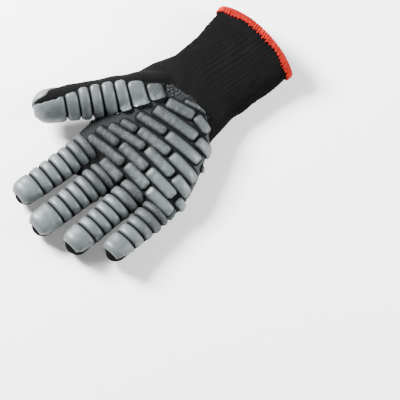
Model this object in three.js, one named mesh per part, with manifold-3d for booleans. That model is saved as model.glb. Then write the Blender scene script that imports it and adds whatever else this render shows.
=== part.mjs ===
// Right hand work glove with ribbed grip pads, lying palm up on its knitted back.
// Lengths are in millimetres. x runs from the wrist to the fingertips, y from the thumb side
// to the little finger side, and z up. The wrist is at x = 0 and the surface under it at z = 0.

import * as THREE from 'three';
import { mergeVertices } from 'three/addons/utils/BufferGeometryUtils.js';
import Module from 'manifold-3d';

const wasm = await Module();
wasm.setup();

// Sizes of the knit
const palmLength = 124;
const palmWidth = 112;
const palmDepth = 32;
const wristWidth = 78;
const wristDepth = 27;
const cuffLength = 58;
const cuffWidth = 88;
const cuffDepth = 28;
const hemBow = 8;
const knitWall = 2.4;
const restSink = 1.6;
const webRound = 3;

// Sizes of the fingers, over the knit
const indexLength = 79;
const indexWidth = 21.5;
const middleLength = 78;
const middleWidth = 21.5;
const ringLength = 79;
const ringWidth = 21.5;
const littleLength = 58;
const littleWidth = 19.5;
const fingerDepth = 19.5;
const fingerRest = 0.5;
const fingerTaper = 0.05;
const fingerSquareness = 2.2;
const thumbLength = 118;
const thumbWidth = 27;
const thumbDepth = 24;
const thumbSplay = 33;
const thumbRoll = 54;
const thumbSquareness = 2.1;

// Sizes of the grip pads
const padGap = 0.3;
const sheetThickness = 1.6;
const ribHeight = 2.5;
const thumbRibPitch = 11.2;
const brickHeight = 3;
const brickBed = 1;
const backCoatThickness = 1.2;
const padBed = 3;
const padHeadroom = 1;

// Sizes of the hem and the size label
const hemWidth = 5;
const hemThickness = 1;
const labelLength = 43;
const labelWidth = 23;
const labelThickness = 0.6;
const labelTurn = 14;
const labelAlong = 0.26;
const labelAcross = -0.09;

// Sections across the hand. along is a share of palmLength past the wrist and of cuffLength
// before it; thumbSide and outerSide are shares of palmWidth, depth of palmDepth, lift is in
// millimetres, and squareness is the power of the rounded section.
const palmSections = [
  { along: 0.05, thumbSide: -0.43, outerSide: 0.291, depth: 0.88, lift: 0, squareness: 2.3 },
  { along: 0.15, thumbSide: -0.468, outerSide: 0.297, depth: 0.92, lift: 0, squareness: 2.4 },
  { along: 0.27, thumbSide: -0.5, outerSide: 0.315, depth: 0.97, lift: 0, squareness: 2.5 },
  { along: 0.36, thumbSide: -0.51, outerSide: 0.345, depth: 1, lift: 0, squareness: 2.5 },
  { along: 0.48, thumbSide: -0.49, outerSide: 0.415, depth: 1, lift: 0, squareness: 2.5 },
  { along: 0.6, thumbSide: -0.465, outerSide: 0.474, depth: 0.97, lift: 0, squareness: 2.6 },
  { along: 0.73, thumbSide: -0.45, outerSide: 0.518, depth: 0.9, lift: 0, squareness: 2.7 },
  { along: 0.84, thumbSide: -0.44, outerSide: 0.54, depth: 0.8, lift: 0, squareness: 2.8 },
  { along: 0.9, thumbSide: -0.436, outerSide: 0.54, depth: 0.72, lift: 0, squareness: 2.8 },
];

// The web between the fingers, where the hand ends in a slant
const webSections = [
  { along: 0.95, thumbSide: -0.43, outerSide: 0.45, depth: 0.66, lift: 0.2, squareness: 2.6 },
  { along: 1, thumbSide: -0.42, outerSide: 0.31, depth: 0.6, lift: 0.8, squareness: 2.4 },
  { along: 1.05, thumbSide: -0.4, outerSide: 0.13, depth: 0.54, lift: 1.6, squareness: 2.2 },
  { along: 1.1, thumbSide: -0.36, outerSide: -0.02, depth: 0.46, lift: 3, squareness: 2 },
];

// Sections of the cuff, from the hem to the wrist. bow is the share of hemBow by which the
// middle of a section lies further out than its sides.
const cuffSections = [
  { along: -1, width: 1, depth: 1, shift: -0.045, lift: 2.2, bow: 1 },
  { along: -0.84, width: 0.975, depth: 0.98, shift: -0.045, lift: 1.4, bow: 0.8 },
  { along: -0.6, width: 0.945, depth: 0.965, shift: -0.045, lift: 0.3, bow: 0.5 },
  { along: -0.3, width: 0.91, depth: 0.97, shift: -0.049, lift: 0, bow: 0.1 },
];
const cuffSquareness = 2.3;
const wristThumbSide = -0.408;

// The fingers. root is where the finger pad starts, as shares of palmLength and palmWidth;
// splay is in degrees, lift is how far the tip stands up, ribs is the number of ribs of the pad
// before its smooth tip, and the ribs run from ribStart to ribEnd, as shares of the length.
const fingers = [
  { name: 'index', rootAlong: 0.926, rootAcross: -0.315, length: indexLength,
    width: indexWidth, splay: -5.2, lift: 0.8, ribs: 6, ribStart: -0.01, ribEnd: 0.725 },
  { name: 'middle', rootAlong: 1.007, rootAcross: -0.054, length: middleLength,
    width: middleWidth, splay: -3.8, lift: 0.4, ribs: 6, ribStart: -0.03, ribEnd: 0.685 },
  { name: 'ring', rootAlong: 0.928, rootAcross: 0.2, length: ringLength,
    width: ringWidth, splay: 0.2, lift: 0.8, ribs: 6, ribStart: -0.03, ribEnd: 0.72 },
  { name: 'little', rootAlong: 0.942, rootAcross: 0.444, length: littleLength,
    width: littleWidth, splay: 2.4, lift: 3.4, ribs: 4, ribStart: -0.06, ribEnd: 0.625 },
];

// The thumb's line. along is a share of thumbLength, bow of thumbWidth towards the fingers,
// height of palmDepth, and girth of the thumb's own width and depth.
const thumbRootAlong = 0.22;
const thumbRootAcross = -0.255;
const thumbSections = [
  { along: -0.1, bow: -0.1, height: 0.44, girth: 0.8 },
  { along: 0, bow: 0, height: 0.5, girth: 1.04 },
  { along: 0.17, bow: 0.05, height: 0.6, girth: 1.16 },
  { along: 0.34, bow: 0.1, height: 0.7, girth: 1.13 },
  { along: 0.52, bow: 0.1, height: 0.77, girth: 1.05 },
  { along: 0.7, bow: 0.06, height: 0.79, girth: 0.98 },
  { along: 0.86, bow: 0.03, height: 0.78, girth: 0.92 },
  { along: 1, bow: 0, height: 0.76, girth: 0.88 },
];

// Outline of the palm's sheet seen from above, from the heel round the outer side, as shares of
// palmLength and palmWidth. Past the hand's edge it lets the sheet turn down round the side.
const sheetOutline = [
  { along: 0.155, across: -0.02 },
  { along: 0.156, across: 0.07 },
  { along: 0.172, across: 0.15 },
  { along: 0.205, across: 0.21 },
  { along: 0.25, across: 0.265 },
  { along: 0.3, across: 0.33 },
  { along: 0.36, across: 0.43 },
  { along: 0.5, across: 0.6 },
  { along: 0.913, across: 0.7 },
  { along: 0.913, across: -0.55 },
  { along: 0.79, across: -0.55 },
  { along: 0.77, across: -0.425 },
  { along: 0.6, across: -0.41 },
  { along: 0.42, across: -0.4 },
  { along: 0.33, across: -0.4 },
  { along: 0.24, across: -0.31 },
  { along: 0.195, across: -0.22 },
  { along: 0.168, across: -0.12 },
];
const sheetEdgeHeight = 0.32;

// The sheet's tongue up to the middle finger: its start as a share of palmLength, and half its
// width as a share of the finger's
const tongueStart = 0.9;
const tongueHalfWidth = 0.55;

// The pillows of the palm in rows from the heel. along and breadth are shares of palmLength,
// across and span of palmWidth, and turn is in degrees towards the fingertips.
const bricks = [
  { along: 0.272, across: 0.186, span: 0.145, breadth: 0.07, turn: 6 },
  { along: 0.31, across: -0.004, span: 0.22, breadth: 0.082, turn: -18 },
  { along: 0.363, across: 0.352, span: 0.2, breadth: 0.082, turn: -12 },
  { along: 0.406, across: 0.052, span: 0.37, breadth: 0.082, turn: -11 },
  { along: 0.468, across: 0.47, span: 0.06, breadth: 0.05, turn: 0 },
  { along: 0.492, across: 0.229, span: 0.3, breadth: 0.082, turn: -8 },
  { along: 0.528, across: -0.057, span: 0.24, breadth: 0.07, turn: -12 },
  { along: 0.59, across: 0.346, span: 0.25, breadth: 0.082, turn: -2 },
  { along: 0.61, across: 0.052, span: 0.28, breadth: 0.073, turn: -7 },
  { along: 0.652, across: -0.168, span: 0.13, breadth: 0.058, turn: -13 },
  { along: 0.686, across: 0.194, span: 0.27, breadth: 0.075, turn: 0 },
  { along: 0.689, across: 0.437, span: 0.16, breadth: 0.086, turn: 3 },
  { along: 0.717, across: -0.12, span: 0.31, breadth: 0.063, turn: -11 },
  { along: 0.771, across: 0.543, span: 0.12, breadth: 0.068, turn: -8 },
  { along: 0.781, across: 0.316, span: 0.26, breadth: 0.079, turn: 0 },
  { along: 0.785, across: 0.029, span: 0.26, breadth: 0.072, turn: -1 },
  { along: 0.802, across: -0.227, span: 0.2, breadth: 0.058, turn: -4 },
  { along: 0.864, across: 0.149, span: 0.225, breadth: 0.072, turn: 2 },
  { along: 0.872, across: 0.402, span: 0.24, breadth: 0.076, turn: -3 },
  { along: 0.88, across: -0.165, span: 0.34, breadth: 0.066, turn: -5 },
  { along: 0.952, across: -0.028, span: 0.205, breadth: 0.074, turn: 1 },
];

// A smooth curve through one column of a table of sections.
function readSections(rows, column, at) {
  const last = rows.length - 1;
  let row = 0;
  while (row < last - 1 && at > rows[row + 1].at) row += 1;
  const slope = (k) => {
    const before = rows[Math.max(k - 1, 0)];
    const after = rows[Math.min(k + 1, last)];
    return (after[column] - before[column]) / (after.at - before.at);
  };
  const here = rows[row];
  const next = rows[row + 1];
  const step = next.at - here.at;
  const t = Math.min(Math.max((at - here.at) / step, 0), 1);
  const rise = slope(row) * step * (t ** 3 - 2 * t ** 2 + t);
  const fall = slope(row + 1) * step * (t ** 3 - t ** 2);
  const blend = 3 * t ** 2 - 2 * t ** 3;
  return here[column] * (1 - blend) + next[column] * blend + rise + fall;
}

const radians = THREE.MathUtils.degToRad;
const signedPower = (value, power) => Math.sign(value) * Math.abs(value) ** power;

// A point on a rounded section: angle 0 is its side, 90 its top. grow moves it outwards, and
// the surface under the glove flattens it.
function sectionPoint(section, angle, grow) {
  const power = 2 / section.squareness;
  const across = (section.halfWidth + grow) * signedPower(Math.cos(radians(angle)), power);
  const up = (section.halfDepth + grow) * signedPower(Math.sin(radians(angle)), power);
  const point = section.centre.clone();
  point.addScaledVector(section.side, across);
  point.addScaledVector(section.up, up);
  point.z = Math.max(point.z, -grow);
  if (section.bow) point.x -= section.bow * (1 - (across / (section.halfWidth + grow)) ** 2);
  return point;
}

// Every section of the hand as edges, depth and squareness against its place along x
const handRows = [
  ...cuffSections.map((row) => ({
    at: row.along * cuffLength,
    thumbSide: row.shift * palmWidth - (row.width * cuffWidth) / 2,
    outerSide: row.shift * palmWidth + (row.width * cuffWidth) / 2,
    depth: row.depth * cuffDepth,
    lift: row.lift,
    bow: row.bow * hemBow,
    squareness: cuffSquareness,
  })),
  {
    at: 0,
    thumbSide: wristThumbSide * palmWidth,
    outerSide: wristThumbSide * palmWidth + wristWidth,
    depth: wristDepth,
    lift: 0,
    bow: 0,
    squareness: cuffSquareness,
  },
  ...[...palmSections, ...webSections].map((row) => ({
    at: row.along * palmLength,
    thumbSide: row.thumbSide * palmWidth,
    outerSide: row.outerSide * palmWidth,
    depth: row.depth * palmDepth,
    lift: row.lift,
    bow: 0,
    squareness: row.squareness,
  })),
];

function handSection(x) {
  const read = (column) => readSections(handRows, column, x);
  const depth = read('depth');
  const lift = read('lift');
  const sink = lift > 0 ? Math.max(restSink - lift, 0) : restSink;
  return {
    centre: new THREE.Vector3(x, (read('thumbSide') + read('outerSide')) / 2, depth / 2 + lift - sink),
    side: new THREE.Vector3(0, 1, 0),
    up: new THREE.Vector3(0, 0, 1),
    halfWidth: (read('outerSide') - read('thumbSide')) / 2,
    halfDepth: depth / 2,
    squareness: read('squareness'),
    bow: read('bow'),
  };
}

// The angle round the hand's section at a share of its half width, past 1 round the side.
function angleAtShare(share, squareness) {
  const size = Math.abs(share);
  const turnStart = 0.9;
  const turnRate = 150;
  const toAngle = (value) => THREE.MathUtils.radToDeg(Math.acos(value ** (squareness / 2)));
  const angle = size < turnStart
    ? toAngle(size)
    : toAngle(turnStart) - (size - turnStart) * turnRate;
  return share < 0 ? 180 - angle : angle;
}

function palmPoint(x, share, grow) {
  const section = handSection(x);
  return sectionPoint(section, angleAtShare(share, section.squareness), grow);
}

// The share of the hand's half width at a place across it.
function shareAcross(x, y) {
  const section = handSection(x);
  return (y - section.centre.y) / section.halfWidth;
}

// How far a rounded tip has drawn in: 1 before it, 0 at its end.
const tipRound = (distance, length, reach) =>
  Math.sqrt(Math.max(1 - Math.max((distance - length + reach) / reach, 0) ** 2, 0));

// A finger's section at a distance from its root, drawn in at the tip.
function fingerDigit(finger) {
  const turn = radians(finger.splay);
  const ahead = new THREE.Vector3(Math.cos(turn), Math.sin(turn), 0);
  const root = new THREE.Vector3(
    finger.rootAlong * palmLength,
    finger.rootAcross * palmWidth,
    fingerDepth / 2 + fingerRest,
  );
  const reach = finger.width / 2;
  return {
    length: finger.length,
    reach,
    sectionAt(distance, grow) {
      const share = Math.max(distance, 0) / finger.length;
      const length = finger.length + grow;
      const round = tipRound(distance, length, reach + grow);
      const slim = 1 - fingerTaper * share;
      const centre = root.clone().addScaledVector(ahead, distance);
      centre.z += finger.lift * share ** 2;
      return {
        centre,
        side: new THREE.Vector3(-Math.sin(turn), Math.cos(turn), 0),
        up: new THREE.Vector3(0, 0, 1),
        halfWidth: ((finger.width / 2) * slim + grow) * round - grow,
        halfDepth: ((fingerDepth / 2) * slim + grow) * round - grow,
        squareness: fingerSquareness,
      };
    },
  };
}

// The thumb's section, rolled so that its pad faces up and towards the fingers.
function thumbDigit() {
  const turn = radians(-thumbSplay);
  const ahead = new THREE.Vector3(Math.cos(turn), Math.sin(turn), 0);
  const across = new THREE.Vector3(-Math.sin(turn), Math.cos(turn), 0);
  const roll = radians(thumbRoll);
  const rows = thumbSections.map((row) => ({ ...row, at: row.along * thumbLength }));
  const reach = thumbWidth / 2;
  return {
    length: thumbLength,
    reach,
    sectionAt(distance, grow) {
      const round = tipRound(distance, thumbLength + grow, reach + grow);
      const read = (column) => readSections(rows, column, distance);
      const centre = new THREE.Vector3(
        thumbRootAlong * palmLength,
        thumbRootAcross * palmWidth,
        read('height') * palmDepth,
      );
      centre.addScaledVector(ahead, distance);
      centre.addScaledVector(across, read('bow') * thumbWidth);
      const up = new THREE.Vector3(0, 0, Math.cos(roll)).addScaledVector(across, Math.sin(roll));
      const side = across.clone().multiplyScalar(Math.cos(roll));
      side.z -= Math.sin(roll);
      return {
        centre,
        side,
        up,
        halfWidth: ((thumbWidth / 2) * read('girth') + grow) * round - grow,
        halfDepth: ((thumbDepth / 2) * read('girth') + grow) * round - grow,
        squareness: thumbSquareness,
      };
    },
  };
}

// A mesh from points and the corners of its triangles.
function meshOf(points, faces) {
  const geometry = new THREE.BufferGeometry();
  const numbers = points.flatMap((point) => point.toArray());
  geometry.setAttribute('position', new THREE.Float32BufferAttribute(numbers, 3));
  geometry.setIndex(faces);
  return geometry;
}

// The faces between each ring of points and the next, and from the last to the first in a loop.
function ringFaces(rings, isLoop) {
  const count = rings[0].length;
  const strips = isLoop ? rings.length : rings.length - 1;
  const faces = [];
  for (let row = 0; row < strips; row += 1) {
    const here = row * count;
    const there = ((row + 1) % rings.length) * count;
    for (let k = 0; k < count; k += 1) {
      const next = (k + 1) % count;
      faces.push(here + k, here + next, there + next, here + k, there + next, there + k);
    }
  }
  return faces;
}

// A closed surface through rings of points, each end closed by its pole or by its middle.
function skin(rings, startPole, endPole) {
  const count = rings[0].length;
  const points = rings.flat();
  const faces = ringFaces(rings, false);
  const middle = (ring) =>
    ring.reduce((sum, point) => sum.add(point), new THREE.Vector3()).divideScalar(count);
  const start = points.push(startPole ?? middle(rings[0])) - 1;
  const end = points.push(endPole ?? middle(rings[rings.length - 1])) - 1;
  const lastRing = (rings.length - 1) * count;
  for (let k = 0; k < count; k += 1) {
    const next = (k + 1) % count;
    faces.push(start, next, k, end, lastRing + k, lastRing + next);
  }
  return meshOf(points, faces);
}

// A solid for joining and cutting, turned the right way out.
function toSolid(geometry) {
  const bare = geometry.clone();
  bare.deleteAttribute('normal');
  bare.deleteAttribute('uv');
  const merged = mergeVertices(bare, 1e-4);
  const vertices = merged.getAttribute('position').array;
  const corners = merged.getIndex().array;
  const kept = [];
  for (let k = 0; k < corners.length; k += 3) {
    const [a, b, c] = corners.slice(k, k + 3);
    if (a !== b && b !== c && c !== a) kept.push(a, b, c);
  }
  const at = (k) => new THREE.Vector3().fromArray(vertices, 3 * k);
  let volume = 0;
  for (let k = 0; k < kept.length; k += 3) {
    volume += at(kept[k]).dot(at(kept[k + 1]).cross(at(kept[k + 2])));
  }
  if (volume < 0) kept.reverse();
  return new wasm.Manifold(new wasm.Mesh({
    numProp: 3,
    vertProperties: new Float32Array(vertices),
    triVerts: new Uint32Array(kept),
  }));
}

function toGeometry(solid) {
  const mesh = solid.getMesh();
  const geometry = new THREE.BufferGeometry();
  geometry.setAttribute('position', new THREE.Float32BufferAttribute(mesh.vertProperties, 3));
  geometry.setIndex(Array.from(mesh.triVerts));
  geometry.computeVertexNormals();
  return geometry;
}

const turns = (count) => Array.from({ length: count }, (_, k) => (360 * k) / count);
const spread = (from, to, count) =>
  Array.from({ length: count + 1 }, (_, k) => from + ((to - from) * k) / count);

// The knit: hand and digits as one body
const handAngles = turns(24);
const handInnerAngles = turns(14);
const fingerAngles = turns(14);
const fingerInnerAngles = turns(8);
const thumbAngles = turns(16);
const thumbInnerAngles = turns(9);
const brickSideStep = 25;
const digitStep = 28;
const padMiddle = 90;

// Where the sections of a rounded tip lie between its start and its end
const knitTipShares = [0.4, 0.72, 0.92];
const padTipShares = [0, 0.4, 0.7, 0.9, 0.98];

function handSolid(grow, from, angles) {
  const places = handRows.map((row) => row.at).filter((at) => at > from + 1);
  const stations = [from, ...places];
  const rings = stations.map((x) => {
    const section = handSection(x);
    return angles.map((angle) => sectionPoint(section, angle, grow));
  });
  const tip = handSection(stations[stations.length - 1]).centre.clone();
  tip.x += webRound + grow;
  return toSolid(skin(rings, null, tip));
}

// Distances along a digit that catch its straight part and its rounded tip.
function digitStations(digit, from, grow) {
  const roundStart = digit.length - digit.reach;
  const roundReach = digit.reach + grow;
  const straight = spread(from, roundStart, Math.ceil((roundStart - from) / digitStep));
  const rounded = knitTipShares.map((share) => roundStart + roundReach * share);
  return [...straight, ...rounded];
}

function digitSolid(digit, angles, grow, from) {
  const rings = digitStations(digit, from, grow).map((distance) => {
    const section = digit.sectionAt(distance, grow);
    return angles.map((angle) => sectionPoint(section, angle, grow));
  });
  const end = digit.sectionAt(digit.length + grow, grow).centre;
  return toSolid(skin(rings, null, end));
}

const digits = fingers.map(fingerDigit);
const thumb = thumbDigit();

// How far the fingers and the thumb reach back into the hand
const fingerOverlap = 0.11 * palmLength;
const thumbOverlap = 0.1 * thumbLength;

function knitForm(grow, cuffEnd, handTurns, fingerTurns, thumbTurns) {
  const parts = digits.map((digit) => digitSolid(digit, fingerTurns, grow, -fingerOverlap));
  parts.push(digitSolid(thumb, thumbTurns, grow, -thumbOverlap));
  return parts.reduce((body, part) => body.add(part), handSolid(grow, cuffEnd, handTurns));
}

const knitOuter = knitForm(0, -cuffLength, handAngles, fingerAngles, thumbAngles);
const knitInner = knitForm(
  -knitWall,
  -cuffLength - hemWidth,
  handInnerAngles,
  fingerInnerAngles,
  thumbInnerAngles,
);
const knitClear = knitForm(padGap, -cuffLength, handAngles, fingerAngles, thumbAngles);

// The size label, sewn flat on the back of the hand in a shallow dip of the knit.
function labelSolid(clearance) {
  const shape = new THREE.BoxGeometry(
    labelWidth + 2 * clearance,
    labelLength + 2 * clearance,
    labelThickness + 2 * clearance,
  );
  shape.rotateZ(radians(labelTurn));
  shape.translate(labelAlong * palmLength, labelAcross * palmWidth, labelThickness / 2);
  return toSolid(shape);
}

// The hem: overlocked thread wrapped round the cuff's edge, as a sleeve with a slot for the
// knit. Each row of a sleeve is a distance from the edge and a growth from the outer face.
function hemSolid() {
  const past = padGap + hemThickness;
  const round = 0.3 * hemThickness;
  const sleeve = (rows, angles) => toSolid(skin(rows.map((row) => {
    const section = handSection(Math.max(row.from, 0) - cuffLength);
    section.centre.x = row.from - cuffLength;
    return angles.map((angle) => sectionPoint(section, angle, row.grow));
  })));
  const outer = sleeve([
    { from: -past, grow: past - round },
    { from: round - past, grow: past },
    { from: hemWidth - past, grow: past },
  ], handAngles);
  const inner = sleeve([
    { from: -2 * past, grow: -knitWall - past },
    { from: hemWidth, grow: -knitWall - past },
  ], handInnerAngles);
  const slot = handSolid(padGap, -cuffLength - padGap, handAngles)
    .subtract(handSolid(-knitWall - padGap, -cuffLength - hemWidth, handInnerAngles));
  return outer.subtract(inner).subtract(slot);
}

// A pad on a digit: a strip round it between two angles from its middle, as thick as rise says
// for each row along it and angle, bedded inside the knit until it is cut back to it.
function digitPad(digit, rows, angles, middleAngle, rise, extra) {
  const reach = angles[angles.length - 1];
  const bedAngles = [middleAngle + reach, middleAngle - reach];
  const rings = rows.map((row) => {
    const outer = angles.map((angle) => {
      const grow = padGap + rise(row, angle) + extra;
      return sectionPoint(digit.sectionAt(row.distance, grow), middleAngle + angle, grow);
    });
    const bed = digit.sectionAt(Math.min(row.distance, digit.length - padBed), -padBed);
    return [...outer, ...bedAngles.map((angle) => sectionPoint(bed, angle, -padBed))];
  });
  return toSolid(skin(rings));
}

// A pad of ribs from its start, then the smooth cap of the tip. reach is the angle from its
// middle to its edge, where the ribs fade out, and extra widens it all round. Over the tip the
// cap thins out.
function ribbedPad(digit, ribCount, pitch, start, middleAngle, reach, extra) {
  const grooveShare = 0.14;
  const fadeAngle = 50;
  const tipThinning = 0.6;
  const edgeAngle = 16;
  const shoulderAngle = 45;
  const rows = [];
  for (let k = 0; k <= ribCount; k += 1) {
    const groove = start + k * pitch;
    rows.push({ distance: groove, isRib: false });
    rows.push({ distance: groove + grooveShare * pitch, isRib: true });
    if (k < ribCount) rows.push({ distance: groove + (1 - grooveShare) * pitch, isRib: true });
  }
  const roundStart = digit.length - digit.reach;
  const capStart = rows[rows.length - 1].distance;
  padTipShares
    .map((share) => {
      const thickness = 1 - tipThinning * share ** 2;
      const roundReach = digit.reach + padGap + thickness * (sheetThickness + ribHeight);
      return { distance: roundStart + roundReach * share, isRib: true, thickness };
    })
    .filter((row) => row.distance > capStart + 1)
    .forEach((row) => rows.push(row));
  rows[0].distance -= extra;
  const rise = (row, angle) => {
    const fade = Math.min((reach - Math.abs(angle)) / fadeAngle, 1);
    const thickness = row.thickness ?? 1;
    return thickness * (sheetThickness + (row.isRib ? ribHeight * fade : 0));
  };
  const half = [shoulderAngle, reach - edgeAngle, reach];
  const angles = [...half.map((angle) => -angle).reverse(), 0, ...half];
  return digitPad(digit, rows, angles, middleAngle, rise, extra);
}

// An upright prism over an outline of plan points, from one height to above the glove.
function outlinePrism(outline, bottom) {
  const top = 2 * palmDepth;
  return toSolid(skin([bottom, top].map((z) =>
    outline.map(([x, y]) => new THREE.Vector3(x, y, z)))));
}

// The palm's sheet: the hand's own surface, moved out and kept inside the outline, with a
// tongue up to the root of the middle finger.
function palmSheet() {
  const outline = sheetOutline.map((row) => [row.along * palmLength, row.across * palmWidth]);
  const middleFinger = fingers.find((finger) => finger.name === 'middle');
  const [nearEdge, farEdge] = [-tongueHalfWidth, tongueHalfWidth].map((half) =>
    middleFinger.rootAcross * palmWidth + half * middleFinger.width);
  const start = tongueStart * palmLength;
  const padStart = middleFinger.rootAlong * palmLength + middleFinger.ribStart * middleFinger.length;
  const end = padStart - 2 * padGap;
  const tongue = [[start, farEdge], [end, farEdge], [end, nearEdge], [start, nearEdge]];
  const bottom = sheetEdgeHeight * palmDepth;
  const region = outlinePrism(outline, bottom).add(outlinePrism(tongue, bottom));
  return handSolid(padGap + sheetThickness, 0, handAngles).intersect(region);
}

// The outline of a pillow: blunt ends, and straight sides of a few steps each.
function brickOutline(length, breadth, sides) {
  const blunt = 0.3 * breadth;
  const endHalf = 0.26 * breadth;
  const side = spread(blunt - length / 2, length / 2 - blunt, sides);
  return [
    [-endHalf, -length / 2],
    ...side.map((across) => [-breadth / 2, across]),
    [-endHalf, length / 2],
    [endHalf, length / 2],
    ...side.reverse().map((across) => [breadth / 2, across]),
    [endHalf, -length / 2],
  ];
}

// One pillow of the palm: a rounded bar that follows the hand's surface.
function brickSolid(brick) {
  const turn = radians(brick.turn);
  const place = (along, across, height) => {
    const x = brick.along * palmLength + along * Math.cos(turn) + across * Math.sin(turn);
    const y = brick.across * palmWidth + across * Math.cos(turn) - along * Math.sin(turn);
    return palmPoint(x, shareAcross(x, y), height);
  };
  const breadth = brick.breadth * palmLength;
  const span = brick.span * palmWidth;
  const foot = padGap + sheetThickness;
  const levels = [
    { draw: 0, height: -brickBed },
    { draw: 0, height: foot + 0.4 * brickHeight },
    { draw: 0.26 * breadth, height: foot + 0.92 * brickHeight },
  ];
  const sides = Math.ceil(span / brickSideStep);
  const rings = levels.map((level) =>
    brickOutline(span - level.draw, breadth - level.draw, sides)
      .map(([along, across]) => place(along, across, level.height)));
  return toSolid(skin(rings, place(0, 0, -brickBed), place(0, 0, foot + brickHeight)));
}

function palmPadSolid(cutters) {
  const joined = bricks.map(brickSolid).reduce((body, brick) => body.add(brick), palmSheet());
  return cutters.reduce((body, cutter) => body.subtract(cutter), joined);
}

// Grip pads of the four fingers
const fingerReach = 94;
const ribStarts = fingers.map((finger) => finger.ribStart * finger.length);
const fingerPads = digits.map((digit, k) => {
  const { length, ribs, ribEnd } = fingers[k];
  const pitch = (ribEnd * length - ribStarts[k]) / ribs;
  return ribbedPad(digit, ribs, pitch, ribStarts[k], padMiddle, fingerReach, 0);
});

// Grip pad of the thumb, and the smooth coat on the thumb's back
const thumbRibs = 7;
const thumbPadStart = 0.07 * thumbLength;
const thumbMiddle = 80;
const thumbReach = 80;
const makeThumbPad = (extra) =>
  ribbedPad(thumb, thumbRibs, thumbRibPitch, thumbPadStart, thumbMiddle, thumbReach, extra);

const backCoatStart = 0.3 * thumbLength;
const backCoatFacets = 3;

function thumbBackSolid() {
  const thickness = padGap + backCoatThickness;
  const rows = digitStations(thumb, -thumbOverlap, thickness)
    .filter((distance) => distance > backCoatStart)
    .map((distance) => ({ distance }));
  const facet = 360 / thumbAngles.length;
  const angles = spread(-backCoatFacets * facet, backCoatFacets * facet, 2 * backCoatFacets);
  return digitPad(thumb, rows, angles, padMiddle - 180, () => backCoatThickness, 0);
}

const knitSolid = knitOuter.subtract(knitInner).subtract(labelSolid(padGap));
const thumbPad = makeThumbPad(0).subtract(knitClear);
const thumbPadClear = makeThumbPad(padGap);
const fingerPadTop = 2 * padGap + sheetThickness + ribHeight + padHeadroom;
const fingerClears = digits.map((digit, k) =>
  digitSolid(digit, fingerInnerAngles, fingerPadTop, ribStarts[k] - padGap));
const palmPad = palmPadSolid([knitClear, thumbPadClear, ...fingerClears]);
const thumbBack = thumbBackSolid().subtract(knitClear).subtract(thumbPadClear);

// Colours and finishes
const knitYarn = { color: 0x1c1c1e, roughness: 0.95, metalness: 0 };
const gripRubber = { color: 0x8a8e91, roughness: 0.42, metalness: 0 };
const hemThread = { color: 0xe8502a, roughness: 0.85, metalness: 0 };
const labelCloth = { color: 0xf1efec, roughness: 0.8, metalness: 0 };

function makePiece(name, solid, finish) {
  const piece = new THREE.Mesh(toGeometry(solid), new THREE.MeshStandardMaterial(finish));
  piece.name = name;
  return piece;
}

const group = new THREE.Group();
group.add(makePiece('knit_shell', knitSolid, knitYarn));
group.add(makePiece('cuff_hem', hemSolid(), hemThread));
group.add(makePiece('palm_pad', palmPad, gripRubber));
group.add(makePiece('thumb_pad', thumbPad, gripRubber));
group.add(makePiece('thumb_back_coat', thumbBack, gripRubber));
fingerPads.forEach((pad, k) => {
  group.add(makePiece(`${fingers[k].name}_pad`, pad.subtract(knitClear), gripRubber));
});
group.add(makePiece('size_label', labelSolid(0), labelCloth));

// The origin is the middle of the glove's footprint, on the surface under it.
const bounds = new THREE.Box3().setFromObject(group);
const middle = bounds.getCenter(new THREE.Vector3());
group.position.set(-middle.x, -middle.y, -bounds.min.z);

export default group;
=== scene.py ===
# Right hand work glove with ribbed rubber pads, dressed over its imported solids.
# Shapes are worked out in millimetres in the glove's own frame: x from the wrist to the
# fingertips, y from the thumb's side to the little finger's, z up, the wrist at x = 0.
import bmesh
import bpy
import numpy as np
from mathutils import Matrix, Vector


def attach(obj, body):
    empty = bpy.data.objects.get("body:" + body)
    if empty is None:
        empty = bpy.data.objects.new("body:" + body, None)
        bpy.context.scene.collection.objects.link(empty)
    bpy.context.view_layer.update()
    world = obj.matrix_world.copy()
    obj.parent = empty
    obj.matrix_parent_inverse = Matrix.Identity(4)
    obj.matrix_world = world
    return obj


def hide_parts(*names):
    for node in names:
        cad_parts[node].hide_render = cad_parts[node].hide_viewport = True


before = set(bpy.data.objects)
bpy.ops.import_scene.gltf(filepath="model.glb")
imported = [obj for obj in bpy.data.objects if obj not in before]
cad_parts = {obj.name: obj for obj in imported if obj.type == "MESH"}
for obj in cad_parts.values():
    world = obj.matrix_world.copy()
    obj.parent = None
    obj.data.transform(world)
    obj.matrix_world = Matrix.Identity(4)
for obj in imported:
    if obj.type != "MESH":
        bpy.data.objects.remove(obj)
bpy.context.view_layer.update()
rowShift = np.array([-68.644, 17.194, 0.0])  # from the wrist's place to the row's origin
millimetre = 0.001
chance = np.random.default_rng(11)

# The glove's sizes, the same as its solids have
glove = {
    "palmLength": 124.0, "palmWidth": 112.0, "palmDepth": 32.0,
    "wristWidth": 78.0, "wristDepth": 27.0, "wristThumbSide": -0.408,
    "cuffLength": 58.0, "cuffWidth": 88.0, "cuffDepth": 28.0, "hemBow": 8.0,
    "cuffSquareness": 2.3,
    "wall": 2.4, "restSink": 1.6,
    "fingerDepth": 19.5, "fingerRest": 0.5, "fingerTaper": 0.05,
    "thumbLength": 118.0, "thumbWidth": 27.0, "thumbDepth": 24.0,
    "thumbSplay": 33.0, "thumbRoll": 54.0, "thumbRoot": (0.22, -0.255),
}

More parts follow.
